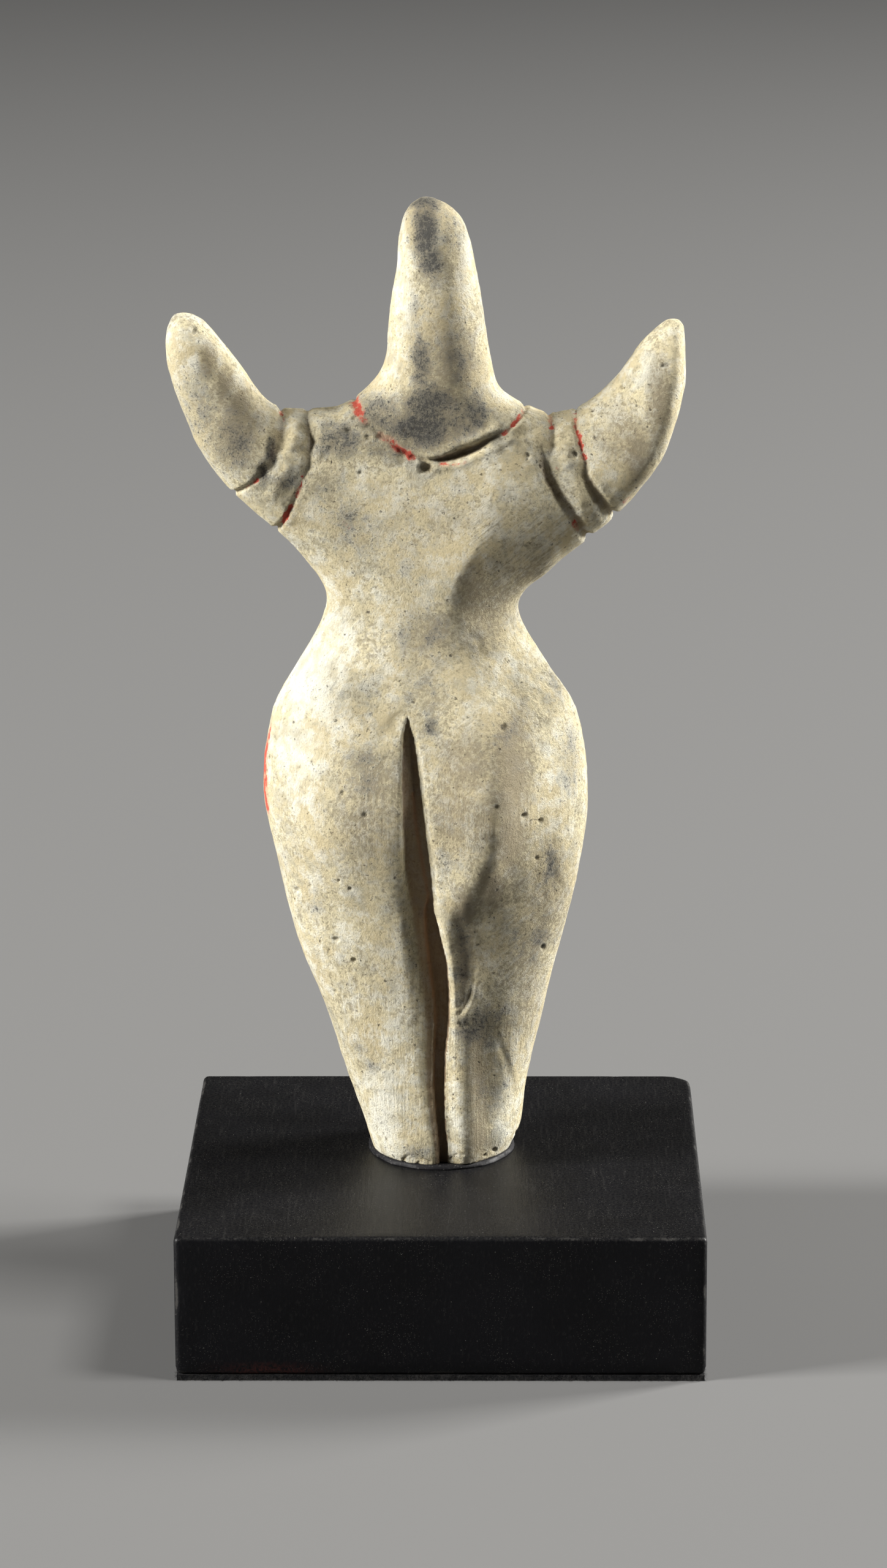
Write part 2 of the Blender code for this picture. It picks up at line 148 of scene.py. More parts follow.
# Grooves: across, height, width in mm, depth in mm. The far ones carry the near ones round the back.
grooves = {
    "near": {
        "left outer": [
            (-16.3, 78.8, 1, 0.4), (-16.1, 76.8, 2.4, 0.6), (-16.7, 75.2, 2.8, 0.7), (-17.2, 73.2, 2, 0.5),
            (-18.4, 72, 1.4, 0.5), (-19.1, 71.2, 1.2, 0.7), (-21.6, 69.4, 1, 0.4),
        ],
        "left inner": [
            (-13.6, 78.6, 0.8, 0.2), (-13.6, 77, 1.7, 0.6), (-13.2, 75.5, 1.9, 0.75),
            (-13.6, 73.3, 1.6, 0.5), (-14.3, 71, 1.2, 0.2), (-15, 69.2, 1, 0.3), (-15.8, 67.5, 1.2, 0.65),
            (-17.2, 65.6, 1.2, 0.5),
        ],
        "right inner, top": [
            (10.9, 78.4, 0.9, 0.4), (11.3, 76.9, 1.6, 0.6), (11.2, 74.9, 1.7, 0.6), (11, 73.6, 1.5, 0.4),
        ],
        "right inner": [
            (10.2, 74.6, 1.6, 0.4), (10.5, 73.4, 2.2, 0.8), (11.1, 71.6, 2.4, 1), (12.2, 69.6, 2.3, 1.1),
            (13.4, 67.9, 2, 1), (14.2, 66.5, 2, 0.9), (15.2, 64.8, 1.9, 0.8),
        ],
        "right outer": [
            (13.7, 79.2, 0.8, 0.4), (13.6, 77, 1, 0.4), (14.1, 75.3, 1.2, 0.4), (14.7, 73.4, 1.5, 0.5),
            (14.6, 72, 2, 0.8), (15.6, 70.2, 2.3, 1), (16.9, 68.3, 2, 1), (18.2, 66.8, 1.4, 0.9),
        ],
        "neckline, left": [
            (-9.6, 79.6, 1.6, 0.3), (-8.3, 78.5, 1.6, 0.3), (-7.2, 77.2, 1.4, 0.25), (-5.9, 76.1, 1.3, 0.25),
            (-4.6, 75.2, 1.2, 0.3), (-3.1, 74.2, 1, 0.5), (-1.4, 73.7, 0.9, 0.8),
        ],
        "neckline, right": [
            (-1.4, 73.7, 0.8, 0.7), (0, 73.8, 1.1, 1.2), (1.2, 74.1, 1.7, 1.7), (2.6, 74.6, 1.8, 1.8),
            (3.8, 75.1, 1.5, 1.6), (5, 75.8, 0.9, 0.9), (6.7, 76.6, 0.8, 0.4), (7.8, 77.6, 0.9, 0.4),
            (9, 78.7, 0.9, 0.5),
        ],
        "leg step": [
            (3.4, 20.6, 0.5, 0.1), (3.1, 19.2, 0.8, 0.35), (2.8, 17.9, 0.9, 0.5), (2.3, 16.9, 0.9, 0.45),
            (1.7, 16.2, 0.7, 0.3),
        ],
        "beside the leg step": [
            (1.3, 28.5, 2.4, 0.1), (2, 25, 3.6, 0.35), (2.4, 22, 4.2, 0.45), (2.4, 20, 3.6, 0.5),
            (2.2, 18.2, 2.6, 0.5), (1.9, 17, 1.8, 0.4),
        ],
        "under the leg step": [(1.6, 15.4, 0.3, 0.2), (2.2, 14.9, 0.4, 0.3), (2.7, 15.1, 0.3, 0.1)],
        "leg crack": [
            (5.6, 13.6, 1.2, 0.05), (6.6, 10.6, 1.4, 0.15), (7, 8.8, 1.6, 0.2), (7.4, 6.6, 1.4, 0.1),
        ],
        "foot chip": [
            (-4.2, 0, 0.5, 0.4), (-3.7, 0.6, 0.4, 0.35), (-2.8, 0.9, 0.4, 0.35), (-2, 0.4, 0.4, 0.35),
            (-1.4, 0.1, 0.4, 0.3),
        ],
        "small foot chip": [(0.8, 0.3, 0.4, 0.3), (1.4, 0.9, 0.4, 0.3), (2.2, 0.9, 0.3, 0.2)],
        "hip nick": [(10.8, 50, 0.4, 0.1), (12.2, 49.2, 0.6, 0.5), (13.6, 48.4, 0.5, 0.2)],
        "scratch": [(-5, 39.2, 0.3, 0.1), (-4.2, 37.8, 0.35, 0.15), (-3.9, 36.5, 0.3, 0.1)],
    },
    "far": {
        "left outer": [(-16.3, 78.8, 1.2, 0.6), (-17.3, 73.4, 1.4, 0.8), (-21.6, 69.4, 1.2, 0.7)],
        "left inner": [(-13.6, 78.6, 1.2, 0.6), (-13.9, 73, 1.4, 0.8), (-17.2, 65.6, 1.3, 0.8)],
        "right inner": [(10.9, 78.4, 1.2, 0.6), (11.2, 72, 1.4, 0.8), (15.2, 64.8, 1.4, 0.9)],
        "right outer": [(13.7, 79.2, 1.2, 0.6), (14.8, 72.4, 1.4, 0.8), (18.2, 66.8, 1.2, 0.8)],
        "neckline": [
            (-9.6, 79.6, 1.2, 0.5), (-7, 77.6, 1.2, 0.7), (-3.5, 76, 1.3, 0.8), (0.5, 75.4, 1.4, 0.9),
            (4, 76, 1.3, 0.8), (7, 77.2, 1.2, 0.7), (9, 78.7, 1.2, 0.5),
        ],
        "leg line": [
            (-1.6, 36.5, 0.4, 0.1), (-1.4, 33, 1.2, 0.9), (-0.6, 20, 1.4, 1), (0.2, 2, 1.3, 0.9),
            (0.3, -3, 1.2, 0.8),
        ],
    },
}

# Low ridges on the near side: across, height, width in mm, rise in mm
ridges = {
    "left armlet": [
        (-15, 78, 1.6, 0.1), (-14.9, 76, 2, 0.4), (-15.3, 73.5, 2.4, 0.3), (-17.2, 70, 3, 0.15),
    ],
    "left lip": [(-12.3, 77.6, 0.9, 0.1), (-12.2, 75.6, 1, 0.25), (-12.5, 73.6, 0.9, 0.2)],
    "right armlet": [
        (12.4, 78.4, 2.4, 0.1), (12.6, 75.5, 3, 0.4), (13, 72, 3, 0.4), (14.4, 69.3, 2.8, 0.35),
        (16.4, 66.6, 2.6, 0.2),
    ],
    "neckline, lower lip": [
        (-0.9, 72.9, 0.8, 0.25), (1.8, 73.1, 1, 0.15), (3.9, 74.1, 0.9, 0.1), (5.7, 75, 1, 0.2),
        (7.2, 75.8, 1.2, 0.2),
    ],
    "neckline, upper lip": [(1, 75.2, 0.9, 0.1), (4.2, 76.2, 1.3, 0.4), (6, 77, 1.3, 0.3)],
    "leg step": [
        (3.9, 21.2, 1, 0.05), (3.5, 19, 1.5, 0.2), (3.2, 17.4, 1.2, 0.15), (2.5, 16.2, 1.2, 0.2),
        (2.4, 15.2, 0.9, 0.05),
    ],
}

# Pits and chips of the near side: across, height, radius across and up in mm, depth in mm
pits = [
    (-25, 86.6, 0.5, 0.5, 0.35), (-24.8, 80.2, 0.4, 0.4, 0.2), (13.5, 74.1, 0.7, 0.55, 0.5),
    (18.5, 80.6, 0.5, 0.4, 0.3), (22.8, 83, 0.8, 0.45, 0.35), (-4, 88, 0.5, 0.55, 0.25),
    (-3.8, 85.4, 0.3, 0.3, 0.2), (-8.2, 72.4, 0.5, 0.4, 0.3), (8.8, 74.2, 0.5, 0.45, 0.3),
    (8.7, 64.8, 0.5, 0.4, 0.2), (13.8, 68.4, 0.4, 0.35, 0.3), (-1.5, 73, 1.4, 1, 0.7),
    (-10.9, 23.8, 0.7, 0.5, 0.5), (-11.7, 22.5, 0.35, 0.35, 0.3), (-9.1, 21.7, 0.5, 0.5, 0.45),
    (-11.2, 17.7, 0.4, 0.4, 0.3), (-15, 28.6, 0.6, 0.5, 0.4), (-13.6, 29.4, 0.35, 0.3, 0.25),
    (-10.5, 30.6, 0.3, 0.35, 0.25), (-9.4, 29.8, 0.4, 0.4, 0.35), (-10.1, 40.1, 0.4, 0.45, 0.3),
    (-7.7, 38, 0.7, 0.7, 0.35), (6.3, 46.7, 0.6, 0.6, 0.35), (5.7, 39.2, 0.45, 0.4, 0.3),
    (8.5, 37.7, 0.6, 0.5, 0.4), (10.2, 36.7, 0.45, 0.4, 0.3), (9.8, 32.7, 0.35, 0.35, 0.25),
    (10.5, 22.4, 0.4, 0.6, 0.35), (2.6, 22.3, 0.9, 0.7, 0.4), (-12.8, 48.8, 0.8, 0.5, 0.3),
    (-2.9, 0.3, 1.6, 0.8, 0.3), (-4.1, 0, 0.4, 0.5, 0.4), (-2.6, -0.1, 0.4, 0.4, 0.4),
    (5.4, 0.6, 0.4, 0.5, 0.35), (4.4, 0.3, 0.3, 0.3, 0.3), (7.7, 1.2, 0.5, 0.9, 0.3),
    (-11.6, 63.2, 0.6, 0.9, 0.12), (-8.6, 77.9, 0.9, 0.7, 0.4), (-9.4, 76.6, 0.6, 0.5, 0.35),
    (-7.4, 76, 0.5, 0.6, 0.35), (-10.4, 77.8, 0.6, 0.5, 0.3),
]

# The cleft, top to foot: height, where its left slope starts and ends, where its slot starts, its right
# edge, width and depth of the lip right of it in mm, and the depths of slope and slot in mm
cleft = [
    (48, -3.45, -3.42, -3.38, -3.35, 0.3, 0, 0, 0),
    (46.9, -3.75, -3.6, -3.35, -3.15, 0.6, 0.3, 1, 1.3),
    (45.5, -4.1, -3.85, -3.3, -2.7, 0.9, 0.6, 1.5, 1.8),
    (41, -4.25, -3.95, -3, -2.15, 1, 0.8, 1.9, 2.3),
    (36.4, -4.25, -3.8, -2.6, -1.6, 1, 0.8, 2.1, 2.2),
    (31.8, -4.3, -3.5, -1.9, -1.05, 1, 0.8, 2.1, 2.2),
    (28.8, -4.4, -2.9, -1.4, -0.85, 1, 0.8, 2, 2.1),
    (27.2, -4.4, -2.5, -1.75, -0.7, 1, 0.8, 1.9, 3.1),
    (24.8, -4.4, -2, -1.7, -0.15, 0.9, 0.8, 1.7, 3.3),
    (21.5, -4.2, -1.65, -1.4, 0.6, 0.8, 0.8, 1.5, 3.2),
    (18.1, -3.9, -1.2, -0.95, 0.85, 0.8, 0.8, 1.3, 2.9),
    (14.8, -3.5, -1.05, -0.8, 0.8, 1.1, 0.9, 1.1, 2.3),
    (11.5, -3, -1.25, -1, 0.4, 1.7, 1, 0.9, 2),
    (8.1, -2.6, -1.25, -1, 0.3, 2, 1, 0.7, 1.8),
    (4.8, -2, -1.05, -0.8, 0.25, 2.4, 1, 0.5, 1.6),
    (1.4, -1.2, -0.7, -0.5, 0.6, 2.6, 0.9, 0.4, 1.4),
    (-2, -1.1, -0.7, -0.5, 0.6, 2.6, 0.9, 0.3, 1.3),
]
# In mm: the width of its right wall and of its slot's wall, how far left of its slope's end the mesh is
# refined, and the reach of the rust
cleftWalls = {"right": 0.3, "slot": 0.25, "refined": 0.6, "rust": 0.3}
rustTop = 40          # height under which the slot is rusty

# Crumbled skin: across, height, reach across and up, and how deep in mm
crumbled = [
    (-9.6, 77.2, 2.8, 2, 0.45), (-7, 75.8, 2.4, 1.2, 0.4), (-11, 75, 2.4, 2.4, 0.25),
    (-14.6, 74.6, 3, 4, 0.35), (-17.4, 71.4, 2, 2.4, 0.3), (-15.6, 67.6, 1.8, 2, 0.25),
    (-4, 74.2, 2, 0.9, 0.3), (7.2, 76, 2.6, 1.4, 0.35), (12.6, 74, 1.8, 5, 0.22), (15.6, 68.6, 2, 3, 0.18),
    (-1.5, 73, 2.4, 0.9, 0.25), (-8.6, 49.6, 3, 2.4, 0.36), (-5.2, 47.6, 3, 2.4, 0.28),
    (-6.6, 44.4, 2.6, 2.2, 0.18), (10.6, 50, 3, 3.4, 0.35), (3.6, 54.4, 1.8, 1.4, 0.25),
    (-9.5, 57.6, 1.8, 1.6, 0.2), (11.4, 31, 1.6, 5, 0.2), (3, 18.4, 2.2, 3.4, 0.12),
    (-2.4, 0.6, 3.6, 1.4, 0.16), (1.6, 0.6, 1.6, 1.2, 0.14), (-1.4, 99, 3, 2.4, 0.1), (12, 49, 3, 1.6, 0.14),
    (-9, 12, 2.6, 4, 0.08),
]

# Unevenness of hand-pressed clay and of the edges of its marks: how wide and how high in mm, and a seed
lumps = [(14, 0.28, 3), (5, 0.1, 7), (1.9, 0.045, 11), (0.8, 0.02, 13)]
raggedEdges = [(1.1, 0.16, 5), (0.5, 0.07, 6)]

# Where marks start and stop to fade, in half widths from their middle
fades = {"groove": (0, 1.25), "ridge": (0, 1.3), "pit": (0.35, 1.1), "ochre": (0.3, 1.2)}
carving = {
    "uneven": (3.5, 8),       # how long the changes of depth along a mark are in mm, and a seed
    "grooveChange": 0.35,     # share of a groove's depth that changes
    "ridgeChange": 0.3,
    "flakes": (2.2, 15),      # how wide the flakes of crumbled skin are in mm, and a seed
    "smallFlakes": (0.9, 16),
    "fullHollow": 1.2,        # depth in mm at which a groove has its full colour
    "fullCrumbs": 0.25,       # and the same for crumbled skin
}

# Red ochre left in the grooves: across, height, width in mm, strength. On the hip the first number is how
# far the stain lies behind the middle of the figure's depth.
ochre = {
    "neck, left": [(-9, 79.3, 2, 0.8), (-8.4, 78.6, 2.2, 0.85), (-7.7, 77.3, 0.8, 0.7)],
    "neckline": [
        (-6.2, 76.2, 1.4, 0.55), (-4.6, 75.2, 1.7, 0.65), (-3.2, 74.2, 1.5, 0.9), (-2.6, 73.9, 0.8, 0.7),
    ],
    "below neckline": [(-0.1, 73.3, 0.6, 0.8), (1, 73.3, 0.6, 0.9), (2.6, 73.6, 0.3, 0.4)],
    "neck, right": [(6.4, 76.3, 0.6, 0.8), (7.7, 77.5, 0.9, 1), (8.5, 78.3, 0.6, 0.5)],
    "left outer": [(-20, 70.5, 0.4, 0.7), (-18.7, 71.4, 0.9, 1)],
    "left outer, top": [(-16.3, 78.3, 0.4, 0.8), (-16, 77.8, 0.4, 0.6)],
    "left inner": [
        (-13.9, 72.2, 0.3, 0.6), (-14.5, 70.3, 0.4, 0.8), (-15.2, 68.9, 0.7, 0.9), (-15.9, 67.4, 1.2, 1.2),
        (-16.4, 66.6, 0.8, 0.8),
    ],
    "chest": [(-9.8, 67.2, 0.5, 0.4), (-9.4, 66.8, 0.5, 0.4)],
    "right inner": [(11.4, 76.9, 0.7, 0.8), (11.1, 77.8, 0.4, 0.6)],
    "right armlet": [(12, 76, 0.4, 0.4), (11.9, 75.4, 0.4, 0.4)],
    "right armlet, low": [(11.7, 72.9, 0.5, 0.7), (11.9, 72.5, 0.4, 0.5)],
    "right inner, low": [(13.5, 66.9, 0.8, 0.9), (14.1, 65.9, 0.7, 0.6)],
    "right outer": [
        (13.7, 78.3, 0.4, 0.5), (13.6, 76.9, 0.5, 0.9), (14, 75.6, 0.7, 1), (14.5, 74.3, 0.7, 0.9),
        (14.8, 73.1, 0.4, 0.6),
    ],
    "arm, under": [(18.6, 69, 0.5, 0.5), (19.2, 69.4, 0.4, 0.4)],
    "left hip": [
        (-1.4, 44.8, 1.8, 0.7), (-1.2, 42, 3.4, 0.9), (-1.7, 39, 4.4, 0.9), (-2.1, 36.6, 3.2, 0.9),
    ],
    "leg": [(0.1, 6.3, 0.3, 0.5), (0.15, 5.8, 0.3, 0.4)],
}

hipEdge = -10         # across; the hip's ochre lies left of it
# The clouds of soot, grime and washed skin are partly painted shade and painted highlight.
farStrength = 0.45    # share of the strength of grime, washed skin and soot that the far side has

# Grime and painted shade: clouds that darken the clay. They are partly dirt where hands and ground wore it
# less, and partly painted shade in the valley right of the right seat, at the waist, under the right ribs
# and down the middle between the lit sides: across, height, reach across and up, strength
grimeAndShade = [
    (4.5, 38.5, 4.5, 7.5, 0.7), (7.2, 41.5, 2.1, 6, 2), (7.1, 35.5, 1.9, 4.2, 2), (5.2, 30.2, 1.5, 3, 1.9),
    (2.4, 27.6, 1.3, 2.4, 1.9), (1.4, 38.5, 2.4, 5, 1.2), (3.6, 9.7, 1.1, 5, 1.9), (3.6, 2.5, 1, 3, 1.8),
    (3.2, 60.5, 1.6, 3.5, 1.6), (2.6, 23, 1.6, 5, 0.9), (10.6, 29, 4, 7, 0.8), (9, 17, 2.5, 8, 0.7),
    (-1, 55.5, 4, 2.6, 0.6), (2.5, 43, 3.4, 3.6, 1.2), (4.6, 58.5, 3.4, 4.4, 1.1), (7.6, 62.5, 5, 3.4, 0.7),
    (18.2, 76, 2.6, 4.6, 0.8), (1.6, 93, 1.6, 4, 0.7), (2.6, 82.6, 2.4, 4, 0.8), (4.6, 38, 2, 3, 1.2),
    (-1.6, 98.6, 2.6, 1.6, 0.8), (-7.5, 36.5, 5, 6.5, 0.7), (4.5, 56.5, 2.8, 4, 0.9), (0.8, 85, 3.2, 8, 0.8),
    (-1, 77, 6, 3, 0.8), (-20, 77.5, 3, 4, 0.7), (19.8, 74.2, 1.6, 3.4, 1.5), (22.2, 79.6, 1.2, 4.5, 1.6),
    (-23.6, 83.5, 0.9, 1.8, 1.4), (-21.9, 81.3, 0.9, 1.8, 1.4), (-20.2, 79.4, 1.1, 1.4, 1.4),
    (3.9, 7.5, 1.5, 6.5, 1), (1, 67, 9, 6, 0.5), (-1, 55, 5, 5, 0.5), (8, 22, 5, 8, 0.5),
    (-6, 20, 4, 8, 0.4), (-3.4, 32, 2, 10, 0.4),
]

# Washed pale skin and painted highlight: clouds that pale the clay. They are partly washed skin and partly
# painted highlight on the lit sides, most of it on the left hip: across, height, reach across and up,
# strength
washedAndLit = [
    (-13, 50.5, 4.5, 5.5, 1), (-14.5, 43, 3.5, 6, 0.8), (-10.5, 56, 2.5, 3, 0.8), (-6, 5, 2.6, 8, 0.9),
    (-5, 16, 2, 6, 0.6), (-9.5, 24, 4, 6, 0.4), (6.5, 52, 1.6, 4.5, 0.6), (12.5, 40, 2, 7, 0.5),
    (6.2, 5, 1.6, 7, 0.8), (1.6, 5, 1, 6, 0.6), (-4, 91, 1.4, 7, 0.7), (2.6, 93, 1.2, 5, 0.6),
    (21.5, 82, 1.6, 4, 0.8), (17.5, 78, 2, 2, 0.6), (-25, 82.5, 1.6, 4, 0.6), (-17, 77.5, 2, 1.4, 0.5),
    (1, 65, 3.4, 4, 0.4), (-6, 60, 4, 3, 0.3),
]

# Soot and painted shade: clouds of soot on the head and body, and painted shade down the middle of the neck
# and at the waist, between the lit sides: across, height, reach across and up, strength
sootAndShade = [
    (-1.6, 96.8, 1.5, 3, 1.4), (-0.9, 94, 1.5, 2.4, 1), (-1.8, 99.6, 3, 1, 1.1), (0.8, 97, 1.8, 3, 0.6),
    (-2.4, 88.5, 1, 3, 0.45), (-2, 83.6, 1.4, 3.4, 1), (1.6, 84, 2.4, 3.6, 0.6), (-1.2, 79.4, 2.8, 2.6, 1.2),
    (-1.6, 77, 4.4, 2.2, 1.2), (3, 78.4, 3, 2.6, 0.9), (-6.6, 78.2, 2.8, 2.6, 0.85),
    (-24.6, 78.5, 3, 6, 0.6), (-21.4, 75.5, 3.4, 3.6, 0.75), (-17.2, 74.7, 0.7, 1.6, 1.1),
    (-18.2, 72.6, 0.8, 1.6, 0.9), (-15.9, 71, 1.3, 1.3, 0.9), (-10.4, 75.6, 3, 2.2, 0.95),
    (-6, 74.6, 4, 1.6, 0.55), (-11.4, 70.6, 2.2, 4, 0.55), (-9.6, 67.4, 3.2, 3.2, 0.6),
    (-8.4, 65.4, 4, 2.4, 0.5), (-4, 63, 4, 3.4, 0.35), (14.4, 76, 2.6, 3, 0.35), (10.6, 75.8, 1.6, 3, 0.4),
    (-1.6, 56, 3.6, 3, 0.5), (-9, 48.8, 5, 2.6, 0.4), (-8, 43, 4.2, 4, 0.5), (-1, 50, 4, 2.6, 0.5),
    (6, 46.5, 3, 2.4, 0.5), (-1, 46.8, 1.2, 1.2, 0.8), (11.4, 48.8, 2.6, 3, 0.4), (13.2, 42, 1.6, 5, 0.6),
    (11.2, 31.5, 1.2, 4, 0.8), (1.2, 34, 2.6, 4, 0.35), (9.5, 23.5, 3, 3.2, 0.6), (2, 22, 1.4, 5, 0.7),
    (4, 14.6, 3.4, 2.4, 0.9), (6.6, 9.6, 0.9, 4, 0.7), (4.6, 6, 1.6, 4, 0.5), (-7.2, 10.2, 1.4, 1.2, 0.6),
    (-8.8, 11.8, 1.4, 1, 0.5), (-12, 15, 1, 2.6, 0.45), (-13, 27.4, 1.6, 2, 0.4), (-3, 24, 1.6, 8, 0.4),
    (-5, 4.6, 3, 2.6, 0.35), (15, 22, 3, 10, 0.25), (-15.6, 33, 1.6, 3.4, 0.3), (5, 2, 1.4, 1.6, 0.6),
    (-2.6, 1.2, 2.2, 1.4, 0.6),
]


def blendOf(before, start, end, after, part):
    # a smooth step from start to end that leads on from its neighbours
    riseIn, riseOut = (end - before) / 2, (after - start) / 2
    square, cube = part * part, part * part * part
    return ((2 * cube - 3 * square + 1) * start + (cube - 2 * square + part) * riseIn
            + (3 * square - 2 * cube) * end + (cube - square) * riseOut)


def withSteps(sections):
    smooth, last, steps = [], len(sections) - 1, figure["stepsBetween"]
    for index in range(last):
        four = [sections[min(max(place, 0), last)] for place in range(index - 1, index + 3)]
        for step in range(steps):
            smooth.append([blendOf(*values, step / steps) for values in zip(*four)])
    smooth.append(list(sections[last]))
    return smooth


def boxedPoint(angle, boxiness):
    # a point of a ring between a circle and a box
    return [math.copysign(abs(value) ** (2 / boxiness), value)
            for value in (math.cos(angle), math.sin(angle))]


def inFigure(across, height, away=0.0):
    return Vector((across * share, figure["setBack"] + away * share, figureFloor + height * share))


def swelling(across, height):
    total = 0.0
    for middle, (reach, up, down), rise, lean in figure["swells"].values():
        climb = height - middle[1]
        sideways = (across - middle[0] - lean * climb) / reach
        upright = climb / (up if climb > 0 else down)
        total += rise * max(0.0, 1 - sideways ** 2 - upright ** 2) ** 2
    for name, rows in figure["crests"].items():
        heights, *columns = zip(*rows)
        crest, toLeft, toRight, rise = (np.interp(height, heights, column) for column in columns)
        off = across - crest
        fall = max(0.0, 1 - abs(off) / (toLeft if off < 0 else toRight))
        total += rise * (fall * fall * (3 - 2 * fall) if name in figure["rounded"] else fall ** 1.5)
    return total


def bodyRing(height, left, right, near, far, boxiness):
    ring = []
    for index in range(figure["ringPoints"]):
        x, y = boxedPoint(math.tau * index / figure["ringPoints"], boxiness)
        across = (left + right) / 2 + x * (right - left) / 2
        ring.append(inFigure(across, height, y * (far if y > 0 else near + swelling(across, height))))
    return ring


def armRing(underAcross, underHeight, overAcross, overHeight, thickness, crest):
    ring = []
    for index in range(figure["ringPoints"]):
        angle = math.tau * index / figure["ringPoints"]
        part = (1 + math.cos(angle)) / 2
        if math.sin(angle) < 0:
            part += crest * math.sin(angle) ** 2 / 2
        across = underAcross + (overAcross - underAcross) * part
        height = underHeight + (overHeight - underHeight) * part
        ring.append(inFigure(across, height, math.sin(angle) * thickness / 2))
    return ring


def addLoft(mesh, rings):
    loops = [[mesh.verts.new(point) for point in ring] for ring in rings]
    count = len(loops[0])
    for lower, upper in zip(loops, loops[1:]):
        for index in range(count):
            after = (index + 1) % count
            mesh.faces.new((lower[index], lower[after], upper[after], upper[index]))
    mesh.faces.new(list(reversed(loops[0])))
    mesh.faces.new(loops[-1])


def putInScene(name, data):
    made = bpy.data.objects.new(name, data)
    bpy.context.scene.collection.objects.link(made)
    return made


def newPiece(name, mesh):
    bmesh.ops.recalc_face_normals(mesh, faces=mesh.faces)
    data = bpy.data.meshes.new(name)
    mesh.to_mesh(data)
    mesh.free()
    return putInScene(name, data)


def meshOf(piece):
    return bpy.data.meshes.new_from_object(piece.evaluated_get(bpy.context.evaluated_depsgraph_get()))


def settle(piece):
    # turns the piece's modifiers into plain mesh
    shape = meshOf(piece)
    piece.modifiers.clear()
    piece.data = shape


def readPoints(mesh):
    points = np.empty(len(mesh.vertices) * 3)
    mesh.vertices.foreach_get("co", points)
    normals = np.empty(len(mesh.vertices) * 3)
    mesh.vertex_normals.foreach_get("vector", normals)
    return points.reshape(-1, 3), normals.reshape(-1, 3)


def writePoints(mesh, points):
    mesh.vertices.foreach_set("co", points.ravel())
    mesh.update()


def writeMark(mesh, name, values):
    mark = mesh.attributes.new(name, "FLOAT", "POINT")
    mark.data.foreach_set("value", values.astype(np.float32))


def smoothStep(low, high, values):
    part = np.clip((values - low) / (high - low), 0, 1)
    return part * part * (3 - 2 * part)


def unevenness(points, wide, seed):
    # smooth noise from -1 to 1 at each point, wide in mm
    shift = np.array((seed * 1.37, seed * 2.11, seed * 0.73))
    return np.array([noise.noise(place) for place in points / (wide * mm) + shift])


def alongLine(line, across, height):
    # distance in mm to a line of marks, and the line's own width and depth there
    marks = np.array(line)
    nearest = np.full(len(across), 1e9)
    width, depth = np.ones(len(across)), np.zeros(len(across))
    for start, end in zip(marks, marks[1:]):
        step = end[:2] - start[:2]
        part = ((across - start[0]) * step[0] + (height - start[1]) * step[1]) / (step @ step)
        part = np.clip(part, 0, 1)
        off = np.hypot(across - start[0] - part * step[0], height - start[1] - part * step[1]) * share / mm
        closer = off < nearest
        nearest = np.where(closer, off, nearest)
        width = np.where(closer, start[2] + part * (end[2] - start[2]), width)
        depth = np.where(closer, start[3] + part * (end[3] - start[3]), depth)
    return nearest, width, depth


def placesOf(points):
    # across and up in hundredths of the figure's height, and whether each point is on the near side
    across, height = points[:, 0] / share, (points[:, 2] - figureFloor) / share
    return across, height, points[:, 1] < figure["setBack"]


def cloudOf(across, height, x, z, wide, tall):
    # a soft round cloud: 1 in its middle, fading to 0
    return np.exp(-((across - x) / wide) ** 2 - ((height - z) / tall) ** 2)


def fade(kind, part):
    return 1 - smoothStep(*fades[kind], part)


def cleftValues(height):
    # the cleft's columns at these heights
    rows = np.array(cleft)[::-1]
    return [np.interp(height, rows[:, 0], rows[:, column]) for column in range(1, 9)]


def makeClayLump():
    mesh = bmesh.new()
    addLoft(mesh, [bodyRing(*section) for section in withSteps(figure["body"])])
    for arm in figure["arms"]:
        addLoft(mesh, [armRing(*section) for section in withSteps(arm)])
    lump = newPiece("clayFigure", mesh)
    press = lump.modifiers.new("press into one lump", "REMESH")
    press.mode = "VOXEL"
    press.voxel_size = figure["grain"]
    smooth = lump.modifiers.new("smooth by hand", "SMOOTH")
    smooth.iterations = figure["smoothPasses"]
    settle(lump)
    return lump


def offMarks(points):
    # how far each point is from the nearest mark, in mm
    across, height, near = placesOf(points)
    off = np.full(len(points), 1e9)
    for side, lines in grooves.items():
        onSide, margin = (near, 0) if side == "near" else (~near, figure["farMargin"])
        for line in lines.values():
            distance, width, _ = alongLine(line, across, height)
            off = np.where(onSide, np.minimum(off, distance - width / 2 + margin), off)
    for x, z, wide, tall, _ in pits:
        distance = (np.hypot((across - x) / wide, (height - z) / tall) * share / mm - 1) * min(wide, tall)
        off = np.where(near, np.minimum(off, distance), off)
    _, slopeEnd, _, right, lipWidth, *_ = cleftValues(height)
    leftOf, rightOf = (slopeEnd - across) * share / mm, (across - right) * share / mm
    outside = np.maximum(leftOf - cleftWalls["refined"], rightOf - lipWidth * 0.6)
    outside = np.maximum(outside, (height - cleft[0][0]) * share / mm)
    return np.where(near, np.minimum(off, outside + 0.2), off)


def refine(mesh, chosen):
    # splits the chosen faces in four
    fine = bmesh.new()
    fine.from_mesh(mesh)
    middles = np.array([face.calc_center_median() for face in fine.faces])
    facing = np.array([face.normal.y for face in fine.faces])
    picked = zip(fine.faces, chosen(middles, facing))
    edges = {edge for face, split in picked if split for edge in face.edges}
    bmesh.ops.subdivide_edges(fine, edges=list(edges), cuts=1, use_grid_fill=True)
    fine.to_mesh(mesh)
    fine.free()


